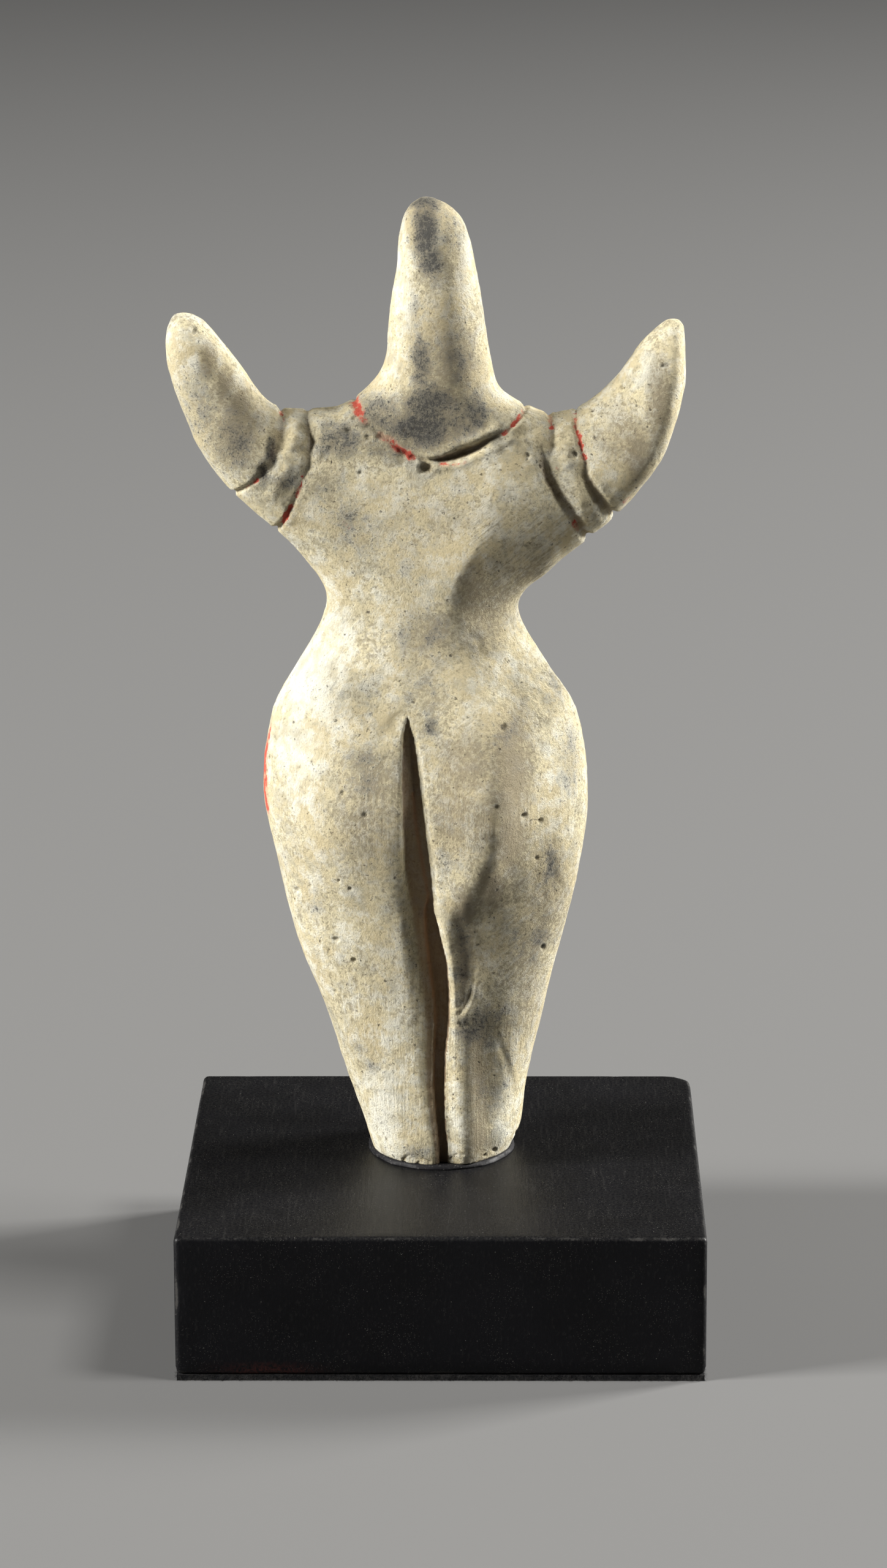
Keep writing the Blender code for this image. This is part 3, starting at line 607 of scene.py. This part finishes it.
def sinkOf(across, height, near, ragged, uneven):
    # how deep the grooves and pits are, in mm
    sink = np.zeros(len(across))
    change = 1 + carving["grooveChange"] * uneven
    for side, lines in grooves.items():
        onSide = near if side == "near" else ~near
        for line in lines.values():
            distance, width, depth = alongLine(line, across, height)
            dip = depth * change * fade("groove", (distance + ragged) / (width / 2))
            sink = np.where(onSide, np.maximum(sink, dip), sink)
    for x, z, wide, tall, deep in pits:
        part = np.hypot((across - x) / wide, (height - z) / tall) * share / mm + ragged / min(wide, tall)
        sink = np.where(near, np.maximum(sink, deep * fade("pit", part)), sink)
    return sink


def cutCleft(mesh, across, height, near, ragged):
    # how deep the cleft is in mm, with the mark for its brown and its painted shade, darker the deeper it
    # is, and the rust along its slot
    left, slopeEnd, slotStart, right, lipWidth, lipDepth, shallow, deep = cleftValues(height)
    place = across + ragged * mm / share * 0.6
    past, inSlot = (place - right) * share / mm, (place - slotStart) * share / mm
    slope = np.clip((place - left) / np.maximum(slopeEnd - left, 0.02), 0, 1)
    cut = shallow * slope ** 1.7
    cut += (deep - shallow) * smoothStep(0, cleftWalls["slot"], inSlot)
    cut += (lipDepth - cut) * smoothStep(-cleftWalls["right"], 0, past)
    cut = np.where(past > 0, lipDepth * (1 - smoothStep(0, 1, past / lipWidth)), cut)
    cut = np.where(near & (height < cleft[0][0]), cut, 0)
    filled = cut / np.maximum(shallow, 0.4)
    shade = smoothStep(0.12, 0.8, filled) * 0.75 + smoothStep(1.05, 1.5, filled) * 0.25
    writeMark(mesh, "cleft", np.where((cut > 0.1) & (past < 0.0), shade, 0))
    rust = np.exp(-(inSlot / cleftWalls["rust"]) ** 2) * smoothStep(1.0, 1.6, cut)
    writeMark(mesh, "rust", np.where(near & (height < rustTop), rust, 0))
    return cut


def writeStains(mesh, away, across, height, near, ragged):
    # the red ochre, and the clouds of soot, grime and pale skin, which also carry painted shade and painted
    # highlight
    red = np.zeros(len(across))
    behind = (away - figure["setBack"]) / share
    for name, line in ochre.items():
        place, there = (behind, across < hipEdge) if name == "left hip" else (across, near)
        distance, width, strength = alongLine(line, place, height)
        stain = strength * fade("ochre", (distance + 3 * ragged) / (width / 2))
        red = np.maximum(red, np.where(there, stain, 0))
    writeMark(mesh, "ochre", red)
    for name, clouds in (("sootAndShade", sootAndShade), ("grimeAndShade", grimeAndShade), ("washedAndLit", washedAndLit)):
        cloud = np.zeros(len(across))
        for *spot, strength in clouds:
            here = np.where(near, strength, strength * farStrength)
            cloud = np.maximum(cloud, here * cloudOf(across, height, *spot))
        writeMark(mesh, name, cloud)


def carve(mesh):
    # presses the grooves, cleft, pits and lumps into the skin, and keeps them as marks for the colours
    points, normals = readPoints(mesh)
    across, height, near = placesOf(points)
    ragged = sum(high * unevenness(points, wide, seed) for wide, high, seed in raggedEdges)
    uneven = unevenness(points, *carving["uneven"])
    sink = sinkOf(across, height, near, ragged, uneven)
    rise = np.zeros(len(points))
    for line in ridges.values():
        distance, width, high = alongLine(line, across, height)
        bank = high * fade("ridge", distance / (width / 2)) * (1 + carving["ridgeChange"] * uneven)
        rise += np.where(near, bank, 0)
    for wide, high, seed in lumps:
        rise += high * unevenness(points, wide, seed)
    flaking = smoothStep(-0.15, 0.35, unevenness(points, *carving["flakes"]))
    flaking += 0.5 * unevenness(points, *carving["smallFlakes"])
    crumbs = np.zeros(len(points))
    for *spot, deep in crumbled:
        crumbs = np.maximum(crumbs, deep * cloudOf(across, height, *spot))
    crumbs = np.where(near, crumbs, 0)
    rise -= crumbs * flaking
    cut = cutCleft(mesh, across, height, near, ragged)
    points += normals * ((rise - sink) * mm)[:, None]
    points[:, 1] += cut * mm
    writePoints(mesh, points)
    writeStains(mesh, points[:, 1], across, height, near, ragged)
    writeMark(mesh, "hollow", np.clip(sink / carving["fullHollow"], 0, 1))
    writeMark(mesh, "crumbled", np.clip(crumbs / carving["fullCrumbs"], 0, 1))


def standOnWax(mesh):
    trimmed = bmesh.new()
    trimmed.from_mesh(mesh)
    cutAt = {"plane_co": (0, 0, waxTop), "plane_no": (0, 0, 1), "clear_inner": True}
    bmesh.ops.bisect_plane(trimmed, geom=trimmed.verts[:] + trimmed.edges[:] + trimmed.faces[:], **cutAt)
    bmesh.ops.holes_fill(trimmed, edges=[edge for edge in trimmed.edges if edge.is_boundary], sides=0)
    trimmed.to_mesh(mesh)
    trimmed.free()


class Wire:
    # a socket of a material's nodes that can be used in sums
    def __init__(self, tree, socket=None):
        self.tree, self.socket = tree, socket

    def node(self, kind, settings=None, inputs=None, output=0):
        made = self.tree.nodes.new("ShaderNode" + kind)
        for name, value in (settings or {}).items():
            if name == "stops":
                ramp = made.color_ramp.elements
                for index, (place, colour) in enumerate(value):
                    stop = ramp[index] if index < 2 else ramp.new(place)
                    stop.position, stop.color = place, (*colour, 1)
            else:
                setattr(made, name, value)
        for name, value in (inputs or {}).items():
            if isinstance(value, Wire):
                self.tree.links.new(value.socket, made.inputs[name])
            else:
                made.inputs[name].default_value = value
        return Wire(self.tree, made.outputs[output])

    def sum(self, operation, first, second=0.0, third=0.0):
        return self.node("Math", {"operation": operation}, {0: first, 1: second, 2: third})

    def __add__(self, other):
        return self.sum("ADD", self, other)

    def __radd__(self, other):
        return self.sum("ADD", other, self)

    def __sub__(self, other):
        return self.sum("SUBTRACT", self, other)

    def __rsub__(self, other):
        return self.sum("SUBTRACT", other, self)

    def __mul__(self, other):
        return self.sum("MULTIPLY", self, other)

    def __rmul__(self, other):
        return self.sum("MULTIPLY", other, self)

    def between(self, low, high):
        # 0 below low, 1 above high, and a smooth step between
        return self.node("MapRange", {"interpolation_type": "SMOOTHSTEP"}, {0: self, 1: low, 2: high})

    def mixed(self, first, second):
        # a colour between two, with this as the share of the second
        return self.node("Mix", {"data_type": "RGBA"}, {0: self, 6: colourOf(first), 7: colourOf(second)}, 2)


def colourOf(value):
    return value if isinstance(value, Wire) else (*value, 1.0)


def newMaterial(name):
    material = bpy.data.materials.new(name)
    material.use_nodes = True
    tree = material.node_tree
    return material, Wire(tree), tree.nodes["Principled BSDF"].inputs


def finishSkin(make, skin, colour, roughness, shine, height, strength=1.0):
    # joins a material's colour, roughness and relief in mm to its shader
    bump = make.node("Bump", {}, {"Strength": strength, "Distance": 1.0 * mm, "Height": height})
    for wire, name in ((colour, "Base Color"), (roughness, "Roughness"), (bump, "Normal")):
        if isinstance(wire, Wire):
            make.tree.links.new(wire.socket, skin[name])
        else:
            skin[name].default_value = wire
    skin["Specular IOR Level"].default_value = shine


def millimetres(make, reach=(1, 1, 1), turn=(0, 0, 0)):
    # the place on the object in mm, drawn out along its axes after they are turned
    place = make.node("TexCoord", output=3)
    scale = tuple(value * mm for value in reach)
    inputs = {"Vector": place, "Rotation": turn, "Scale": scale}
    return make.node("Mapping", {"vector_type": "TEXTURE"}, inputs)


def noiseOf(make, place, wide, detail=3.0, rough=0.55):
    inputs = {"Vector": place, "Scale": 1 / wide, "Detail": detail, "Roughness": rough}
    return make.node("TexNoise", {}, inputs)


def cellsOf(make, place, scale):
    return make.node("TexVoronoi", {}, {"Vector": place, "Scale": scale, "Randomness": 1.0}, 0)


def marksOf(make, *names):
    # the marks that the shaping left on the mesh
    return [make.node("Attribute", {"attribute_name": name}, output=2) for name in names]


clay = {
    "cream": (0.74, 0.66, 0.44),
    "buff": (0.60, 0.51, 0.315),
    "pale": (0.88, 0.86, 0.74),
    "grimeAndShade": (0.24, 0.20, 0.13),
    "grey": (0.12, 0.117, 0.105),
    "sootAndShade": (0.05, 0.049, 0.047),
    "film": (0.40, 0.39, 0.32),
    "brown": (0.26, 0.165, 0.095),
    "rust": (0.40, 0.21, 0.11),
    "red": (0.55, 0.045, 0.025),
    "pink": (0.62, 0.25, 0.17),
    "pore": (0.055, 0.045, 0.033),
}


def makeStrokes(make, place):
    # the marks of wiping and scraping: upright on the legs, slanting on the chest and the right thigh, in mm
    across = make.node("SeparateXYZ", {}, {0: place}, 0)
    height = make.node("SeparateXYZ", {}, {0: place}, 2)
    wiped = noiseOf(make, millimetres(make, (0.42, 0.42, 7.0)), 1.0, 4, 0.7)
    dragged = noiseOf(make, millimetres(make, (0.4, 1.0, 6.0), (0, math.radians(52), 0)), 1.0, 4, 0.7)
    thigh = across.between(5, 10) * height.between(44, 52) * (1 - height.between(68, 78))
    ribs = across.between(1, 7) * height.between(106, 113) * (1 - height.between(124, 131))
    slanting = make.sum("MAXIMUM", thigh, ribs)
    patch = noiseOf(make, millimetres(make), 8.0, 2, 0.5).between(0.38, 0.62)
    legs = make.sum("MAXIMUM", 1 - height.between(44, 66), (1 - height.between(86, 94)) * patch * 0.6)
    strength = make.sum("MAXIMUM", legs * (0.45 + patch * 0.55), slanting * 0.9)
    return (wiped + (dragged - wiped) * slanting - 0.5) * strength + 0.5


def makeClay():
    material, make, skin = newMaterial("firedClay")
    place = millimetres(make)
    sootAndShadeMark, redMark, rustMark, cleftBrownAndShadeMark = marksOf(make, "sootAndShade", "ochre", "rust", "cleft")
    grimeAndShadeMark, washedAndLitMark, crumbledMark, hollow = marksOf(make, "grimeAndShade", "washedAndLit", "crumbled", "hollow")

    broad = noiseOf(make, place, 9.0, 4, 0.6)
    middle = noiseOf(make, place, 2.6, 5, 0.7)
    grit = noiseOf(make, place, 0.7, 6, 0.8)
    dust = noiseOf(make, place, 0.24, 3, 0.7)
    strokes = makeStrokes(make, place)
    colour = broad.between(0.36, 0.64).mixed(clay["buff"], clay["cream"])
    colour = ((middle + strokes * 0.5).between(0.68, 0.92) * 0.75).mixed(colour, clay["pale"])
    # washed pale skin and painted highlight on the lit sides
    washAndLight = (washedAndLitMark * 0.9 + (middle - 0.5) * 1.6 + (broad - 0.5) * 0.8).between(0.15, 1.0)
    colour = (washAndLight * 0.85).mixed(colour, clay["pale"])
    film = noiseOf(make, place, 4.2, 5, 0.75).between(0.48, 0.62)
    colour = (film * 0.4 + sootAndShadeMark * 0.25).mixed(colour, clay["film"])

    # grime sits in the low grain and in the strokes of the wiping
    low = 1.20 - grit * 1.1 - strokes * 0.5 + (broad - 0.5) * 0.5
    low = (low + sootAndShadeMark * 0.10 + grimeAndShadeMark * 0.10 - washAndLight * 0.12).between(0.40, 0.60)
    colour = (low * 0.68).mixed(colour, clay["grimeAndShade"])
    # painted shade, with some grime: a broad veil, and a deeper dark where the clouds are strong
    veil = (grimeAndShadeMark + crumbledMark * 0.1 + (middle - 0.5) * 1.4 + (broad - 0.5) * 0.5).between(0.10, 0.95)
    colour = (veil * 0.48).mixed(colour, clay["grimeAndShade"])
    deep = (grimeAndShadeMark + (middle - 0.5) * 0.8).between(0.9, 2.0)
    colour = (deep * 0.45).mixed(colour, clay["grimeAndShade"])

    # soot and painted shade: a ragged haze, and flecks in it that close up where a cloud is strong
    haze = (sootAndShadeMark * 1.3 + (middle - 0.5) * 2.2 + (grit - 0.5) * 1.6).between(0.35, 1.35)
    colour = (haze * 0.75).mixed(colour, clay["grey"])
    fleck = sootAndShadeMark * 0.6 + (grit - 0.5) * 2.6 + (middle - 0.5) * 1.0
    fleck = (fleck + (dust - 0.5) * 1.8).between(0.42, 0.80)
    colour = (fleck * 0.8).mixed(colour, clay["sootAndShade"])

    # pores of many sizes with ragged outlines
    bend = make.node("TexNoise", {}, {"Vector": place, "Scale": 2.2, "Detail": 2.0}, 1)
    bent = make.node("VectorMath", {"operation": "MULTIPLY_ADD"}, {0: bend, 1: (0.9, 0.9, 0.9), 2: place})
    some = noiseOf(make, place, 2.4, 3, 0.6)
    small, large = cellsOf(make, bent, 1.15), cellsOf(make, bent, 0.42)
    pores = 1 - (small - (some - 0.56) * 0.9).between(0.06, 0.20)
    holes = 1 - (large - (some - 0.55) * 0.25).between(0.04, 0.12)
    dark = make.sum("MAXIMUM", pores * 0.8, holes)
    colour = (dark * 0.8).mixed(colour, clay["pore"])

    # the cleft's brown and its painted shade, darker where it is deeper
    colour = (cleftBrownAndShadeMark.between(0.25, 0.9) * 0.8).mixed(colour, clay["brown"])
    # brown in the grooves and pits, more the deeper they are: partly their own brown, partly painted shade
    colour = (hollow.between(0.15, 0.9) * 0.5).mixed(colour, clay["brown"])
    colour = (rustMark * 0.7).mixed(colour, clay["rust"])
    red = (redMark * 0.85 + (middle - 0.5) * 1.3 + (grit - 0.5) * 1.3).between(0.46, 0.66)
    red = red * redMark.between(0.12, 0.3)
    colour = (redMark.between(0.02, 0.5) * 0.35).mixed(colour, clay["pink"])
    colour = (red * 0.85).mixed(colour, clay["red"])

    roughness = 0.88 - fleck * 0.06 + (dust - 0.5) * 0.1
    rough = crumbledMark + hollow * 0.6
    height = strokes * 0.30 + grit * (0.42 + rough * 0.45) + dust * 0.07 + middle * (0.16 + rough * 0.5)
    height = height - pores * 0.05 - holes * 0.12 - red * 0.02
    finishSkin(make, skin, colour, roughness, 0.25, height)
    return material


def makeFigure():
    lump = makeClayLump()
    print("clay pressed:", len(lump.data.polygons), "faces")
    nearest, reach = figure["nearFacing"], figure["fineReach"]
    refine(lump.data, lambda middles, facing: (facing < nearest) | (offMarks(middles) < reach))
    print("near side refined:", len(lump.data.polygons), "faces")
    lump.modifiers.new("smooth by hand", "SMOOTH").iterations = figure["lastPasses"]
    settle(lump)
    refine(lump.data, lambda middles, facing: offMarks(middles) < figure["finestReach"])
    print("marks refined:", len(lump.data.polygons), "faces")
    carve(lump.data)
    standOnWax(lump.data)
    lump.data.shade_smooth()
    lump.data.materials.append(makeClay())
    print("figure carved:", sum(len(face.vertices) - 2 for face in lump.data.polygons), "triangles")
    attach(lump, "root")
    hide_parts("figurine")


makeFigure()

# Black display block. Its wear is in mm.
block = {
    "radius": 0.9,
    "cornerSteps": 5,
    "spacing": 1.6,           # between the lines of its mesh
    "warp": 0.05,             # slow unevenness of its faces
    "dents": 0.14,            # deepest dent along an edge
    "dentLength": (2.6, 21),  # of the dents, and a seed
    "warpLength": (24, 22),   # of the slow unevenness, and a seed
    "wornCorner": (2.0, 0.9),   # reach and depth of the wear at the far right top corner
    "step": (1.1, 0.10),      # height and depth of the step round its foot
    "stepSlope": 0.12,        # half the height over which the step fades
    "dustBand": (0.8, 0.3),   # how far under its top the dust starts and is full
    "stainPlace": (-26, 6),   # middle and reach of the red stain along its near foot
    "stainTop": (0.6, 2.2),   # heights between which it fades
    "paint": (0.0020, 0.0020, 0.0027),
    "scuffed": (0.05, 0.048, 0.045),
    "dust": (0.34, 0.33, 0.30),
    "stain": (0.045, 0.012, 0.010),
}


def addBox(mesh, low, high):
    corners = bmesh.ops.create_cube(mesh, size=1.0)["verts"]
    bmesh.ops.scale(mesh, vec=high - low, verts=corners)
    bmesh.ops.translate(mesh, vec=(low + high) / 2, verts=corners)


def ruleLines(mesh, places, axis):
    # cuts lines into the mesh's faces, square to one axis
    normal = Vector((0, 0, 0))
    normal[axis] = 1
    for place in places:
        everything = mesh.verts[:] + mesh.edges[:] + mesh.faces[:]
        bmesh.ops.bisect_plane(mesh, geom=everything, plane_co=normal * place, plane_no=normal)


def makeBlockShape(low, high):
    mesh = bmesh.new()
    addBox(mesh, low, high)
    radius, spacing = block["radius"] * mm, block["spacing"] * mm
    rounding = {"segments": block["cornerSteps"], "profile": 0.5, "affect": "EDGES"}
    bmesh.ops.bevel(mesh, geom=mesh.edges[:], offset=radius, **rounding)
    for axis in range(3):
        count = round((high[axis] - low[axis] - 2 * radius) / spacing)
        ruleLines(mesh, np.linspace(low[axis] + radius, high[axis] - radius, count + 1)[1:-1], axis)
    step, slope = low.z + block["step"][0] * mm, block["stepSlope"] * mm
    ruleLines(mesh, (step - slope, step + slope), 2)
    return newPiece("paintedBlock", mesh)


def wearBlock(mesh, low, high):
    points, normals = readPoints(mesh)
    edge = 1 - smoothStep(0.90, 0.999, np.abs(normals).max(axis=1))
    dent = smoothStep(0.05, 0.65, unevenness(points, *block["dentLength"])) * edge * block["dents"]
    slow = 0.5 + 0.5 * unevenness(points, *block["warpLength"])
    sink = dent + slow * block["warp"]
    (stepHeight, stepDepth), slope = block["step"], block["stepSlope"]
    above = (points[:, 2] - low.z) / mm
    inset = stepDepth * (1 - smoothStep(stepHeight - slope, stepHeight + slope, above))
    reach, depth = block["wornCorner"]
    off = points - np.array(high)
    worn = depth * np.exp(-((off / mm) ** 2).sum(axis=1) / reach ** 2)
    points -= normals * (sink * mm)[:, None]
    points[:, :2] -= normals[:, :2] * (inset * mm)[:, None]
    points -= (worn * mm / math.sqrt(3))[:, None]
    writePoints(mesh, points)
    writeMark(mesh, "edge", edge)
    stainMiddle, stainReach = block["stainPlace"]
    stain = np.exp(-((points[:, 0] - stainMiddle * mm) / (stainReach * mm)) ** 2)
    stain *= 1 - smoothStep(*block["stainTop"], above)
    writeMark(mesh, "stain", np.where(points[:, 1] < 0, stain, 0))
    writeMark(mesh, "rubbed", np.clip(dent / block["dents"] + worn, 0, 1))


def makePaint():
    material, make, skin = newMaterial("blackPaint")
    place = millimetres(make)
    edge, rubbed, stain = marksOf(make, "edge", "rubbed", "stain")
    broad = noiseOf(make, place, 14.0, 3, 0.6)
    fine = noiseOf(make, place, 0.4, 3, 0.6)
    grain = noiseOf(make, millimetres(make, (0.45, 7.0, 1.0)), 1.0, 3, 0.6)
    colour = broad.between(0.35, 0.65).mixed(block["paint"], [value * 1.5 for value in block["paint"]])
    dustStart, dustFull = (block["top"] - below for below in block["dustBand"])
    onTop = make.node("SeparateXYZ", {}, {0: place}, 2).between(dustStart, dustFull)
    colour = (onTop * fine.between(0.3, 0.7) * 0.02).mixed(colour, block["dust"])
    colour = (grain.between(0.55, 0.72) * 0.10).mixed(colour, block["scuffed"])
    scuff = (edge * 0.45 + rubbed * 0.5 + (fine - 0.5) * 0.8).between(0.42, 0.75)
    colour = (scuff * 0.55).mixed(colour, block["scuffed"])
    colour = (stain * fine.between(0.35, 0.6) * 0.8).mixed(colour, block["stain"])
    speck, crumb = cellsOf(make, place, 3.2), cellsOf(make, place, 0.8)
    some = noiseOf(make, place, 5.0, 2, 0.5).between(0.42, 0.62)
    dots = (1 - speck.between(0.08, 0.2)) * some * 0.22 + (1 - crumb.between(0.03, 0.06)) * 0.4
    colour = dots.mixed(colour, block["dust"])
    roughness = 0.44 + (fine - 0.5) * 0.16 + (grain - 0.5) * 0.14
    height = grain * 0.05 + fine * 0.04 + dots * 0.05 + broad * 0.10
    finishSkin(make, skin, colour, roughness, 0.14, height, 0.8)
    return material


def makeBlock():
    low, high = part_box("block")
    block["top"] = high.z / mm
    piece = makeBlockShape(low, high)
    wearBlock(piece.data, low, high)
    piece.data.shade_smooth()
    piece.data.materials.append(makePaint())
    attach(piece, "root")
    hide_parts("block")
    print("block made:", len(piece.data.polygons), "faces")


makeBlock()

# Black wax that holds the foot. Levels are shares of the way from the block to the foot, spreads are in mm.
wax = {
    "profile": [
        (0, 0.22), (0.15, 0.22), (0.4, 0.16), (0.7, 0.06), (0.95, -0.08), (1, -0.2), (1, -1.2),
    ],
    "wander": 1.2,
    "points": 180,
    "colour": (0.010, 0.0095, 0.011),
}


def waxRing(level, spread, low, high):
    _, left, right, near, far, boxiness = figure["body"][1]
    ring = []
    for index in range(wax["points"]):
        angle = math.tau * index / wax["points"]
        x, y = boxedPoint(angle, boxiness)
        wander = noise.noise((3 * math.cos(angle), 3 * math.sin(angle), 0.6 * level)) * wax["wander"]
        wander += noise.noise((9 * math.cos(angle), 9 * math.sin(angle), 4.0)) * wax["wander"] / 3
        out = (spread + wander * max(spread, 0)) * mm
        across = (left + right) / 2 * share + x * ((right - left) / 2 * share + out)
        away = figure["setBack"] + y * ((far if y > 0 else near) * share + out)
        ring.append(Vector((across, away, low + (high - low) * level)))
    return ring


def makeWaxMaterial():
    material, make, skin = newMaterial("blackWax")
    place = millimetres(make)
    smear = noiseOf(make, place, 1.6, 3, 0.6)
    dust = noiseOf(make, place, 0.25, 2, 0.5)
    colour = (dust.between(0.62, 0.72) * 0.25).mixed(wax["colour"], block["dust"])
    roughness = 0.5 + smear.between(0.4, 0.7) * 0.25
    finishSkin(make, skin, colour, roughness, 0.15, smear * 0.12 + dust * 0.02, 0.6)
    return material


def makeWax():
    low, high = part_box("block")[1].z, waxTop
    mesh = bmesh.new()
    addLoft(mesh, [waxRing(level, spread, low, high) for level, spread in wax["profile"]])
    piece = newPiece("waxBead", mesh)
    piece.data.shade_smooth()
    piece.data.materials.append(makeWaxMaterial())
    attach(piece, "root")
    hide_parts("mounting_wax")
    print("wax made:", len(piece.data.polygons), "faces")


makeWax()

# Black felt under the block, cut by hand, with a fringe of loose fibres. Sizes in mm.
felt = {
    "spacing": 1.2,
    "ragged": 0.16,
    "raggedLength": (1.3, 31),  # along its cut edge, and a seed
    "levels": (0.3, 0.65),      # of the lines round its cut edge, as shares of its thickness
    "fibres": 1500,
    "fibreLength": (0.35, 1.0),
    "fibreWidth": 0.05,
    "fibreLean": 0.7,           # along the edge, as a share of its length
    "fibreDrop": (-0.8, 0.35),  # down and up, as a share of its length
    "fibreRoot": 0.1,           # how deep it starts in the felt
    "colour": (0.010, 0.010, 0.011),
    "worn": (0.035, 0.033, 0.032),
}


def makeFeltMaterial(name):
    material, make, skin = newMaterial(name)
    place = millimetres(make)
    tuft = noiseOf(make, place, 0.5, 4, 0.7)
    patch = noiseOf(make, place, 6.0, 3, 0.6)
    colour = ((tuft + patch * 0.4).between(0.62, 0.85) * 0.6).mixed(felt["colour"], felt["worn"])
    finishSkin(make, skin, colour, 0.95, 0.15, tuft * 0.25)
    return material


def makeFeltSheet(low, high):
    mesh = bmesh.new()
    addBox(mesh, low, high)
    for axis in range(2):
        count = round((high[axis] - low[axis]) / (felt["spacing"] * mm))
        ruleLines(mesh, np.linspace(low[axis], high[axis], count + 1)[1:-1], axis)
    ruleLines(mesh, (low.z + (high.z - low.z) * part for part in felt["levels"]), 2)
    piece = newPiece("feltLining", mesh)
    points, normals = readPoints(piece.data)
    out = unevenness(points, *felt["raggedLength"]) * felt["ragged"] - felt["ragged"] / 2
    sideways = np.hypot(normals[:, 0], normals[:, 1]) > 0.3
    points[:, :2] += normals[:, :2] * (np.where(sideways, out, 0) * mm)[:, None]
    writePoints(piece.data, points)
    return piece


def addFibre(curve, draw, start, outward):
    # one loose fibre, from the cut edge out and down
    length = draw.uniform(*felt["fibreLength"]) * mm
    along = Vector((-outward.y, outward.x, 0)) * draw.uniform(-felt["fibreLean"], felt["fibreLean"])
    drop = Vector((0, 0, draw.uniform(*felt["fibreDrop"])))
    spline = curve.splines.new("POLY")
    spline.points.add(3)
    for index, point in enumerate(spline.points):
        part = index / 3
        place = start + (outward * part * 0.6 + along * part ** 2 + drop * part ** 1.5) * length
        place.z = max(place.z, felt["fibreWidth"] * mm)
        point.co = (*place, 1.0)
        point.radius = 1.0 - 0.8 * part


def makeFringe(low, high):
    draw = random.Random(17)
    curve = bpy.data.curves.new("fringe", "CURVE")
    curve.dimensions = "3D"
    curve.bevel_depth = felt["fibreWidth"] / 2 * mm
    curve.bevel_resolution = 0
    wide, deep = high.x - low.x, high.y - low.y
    for _ in range(felt["fibres"]):
        along = draw.uniform(0, 2 * (wide + deep))
        level = draw.uniform(low.z, high.z)
        if along < 2 * wide:
            side = -1 if along < wide else 1
            start = Vector((low.x + along % wide, (low.y, high.y)[side > 0], level))
            outward = Vector((0, side, 0))
        else:
            side = -1 if along < 2 * wide + deep else 1
            start = Vector(((low.x, high.x)[side > 0], low.y + (along - 2 * wide) % deep, level))
            outward = Vector((side, 0, 0))
        addFibre(curve, draw, start - outward * felt["fibreRoot"] * mm, outward)
    strands = putInScene("fringe", curve)
    shape = meshOf(strands)
    bpy.data.objects.remove(strands)
    return putInScene("feltFringe", shape)


def makeFelt():
    low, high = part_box("felt")
    high.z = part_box("block")[0].z    # pressed against the block
    lining, fringe = makeFeltSheet(low, high), makeFringe(low, high)
    for piece in (lining, fringe):
        piece.data.materials.append(makeFeltMaterial(piece.name + "Black"))
        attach(piece, "root")
    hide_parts("felt")
    print("felt made:", len(lining.data.polygons) + len(fringe.data.polygons), "faces")


makeFelt()

# Camera: where it stands in mm, how far it looks down, its turn and tilt in degrees, its lens, and how near
# and far it sees in metres
camera = {
    "place": (10.65, -793.33, 282.33), "down": 14.139, "turn": 0.753, "tilt": -0.207,
    "lens": 121.71, "clip": (0.01, 50),
}

# Lights: where each stands in metres, and its power. They share a size, a colour and what they aim at.
lights = {
    "left": ((-2.15, -0.57, 0.99), 134.0),
    "right": ((2.12, 0.86, 0.84), 136.0),
    "top": ((1.35, -0.28, 2.06), 52.0),
}
room = {
    "floor": (0.13, 0.13, 0.13), "floorHalf": 12, "floorRoughness": 0.7,
    "air": (1.0, 0.98, 0.95), "airStrength": 0.015,
    "panel": 0.66, "lamplight": (1.0, 0.985, 0.95), "aim": (0, 0.005, 0.095),
}


def makeCamera():
    lens = bpy.data.cameras.new("camera")
    lens.lens = camera["lens"]
    lens.clip_start, lens.clip_end = camera["clip"]
    eye = putInScene("camera", lens)
    turn = Matrix.Rotation(math.radians(camera["turn"]), 4, "Z")
    down = Matrix.Rotation(math.radians(90 - camera["down"]), 4, "X")
    tilt = Matrix.Rotation(math.radians(camera["tilt"]), 4, "Z")
    eye.matrix_world = Matrix.Translation(Vector(camera["place"]) * mm) @ turn @ down @ tilt
    bpy.context.scene.camera = eye


def makeLights():
    for name, (place, power) in lights.items():
        panel = bpy.data.lights.new(name + " light", "AREA")
        panel.size, panel.energy, panel.color = room["panel"], power, room["lamplight"]
        lamp = putInScene(name + " light", panel)
        lamp.location = place
        lamp.rotation_mode = "QUATERNION"
        lamp.rotation_quaternion = (Vector(room["aim"]) - lamp.location).to_track_quat("-Z", "Y")
    world = bpy.data.worlds.new("studio")
    world.use_nodes = True
    air = world.node_tree.nodes["Background"].inputs
    air["Color"].default_value = (*room["air"], 1)
    air["Strength"].default_value = room["airStrength"]
    bpy.context.scene.world = world
    bpy.context.scene.view_settings.view_transform = "Standard"


def makeFloor():
    mesh = bmesh.new()
    bmesh.ops.create_grid(mesh, x_segments=1, y_segments=1, size=room["floorHalf"])
    floor = newPiece("studioFloor", mesh)
    material, _, skin = newMaterial("paleFloor")
    skin["Base Color"].default_value = (*room["floor"], 1)
    skin["Roughness"].default_value = room["floorRoughness"]
    floor.data.materials.append(material)


makeFloor()
makeLights()
makeCamera()
print("studio ready")
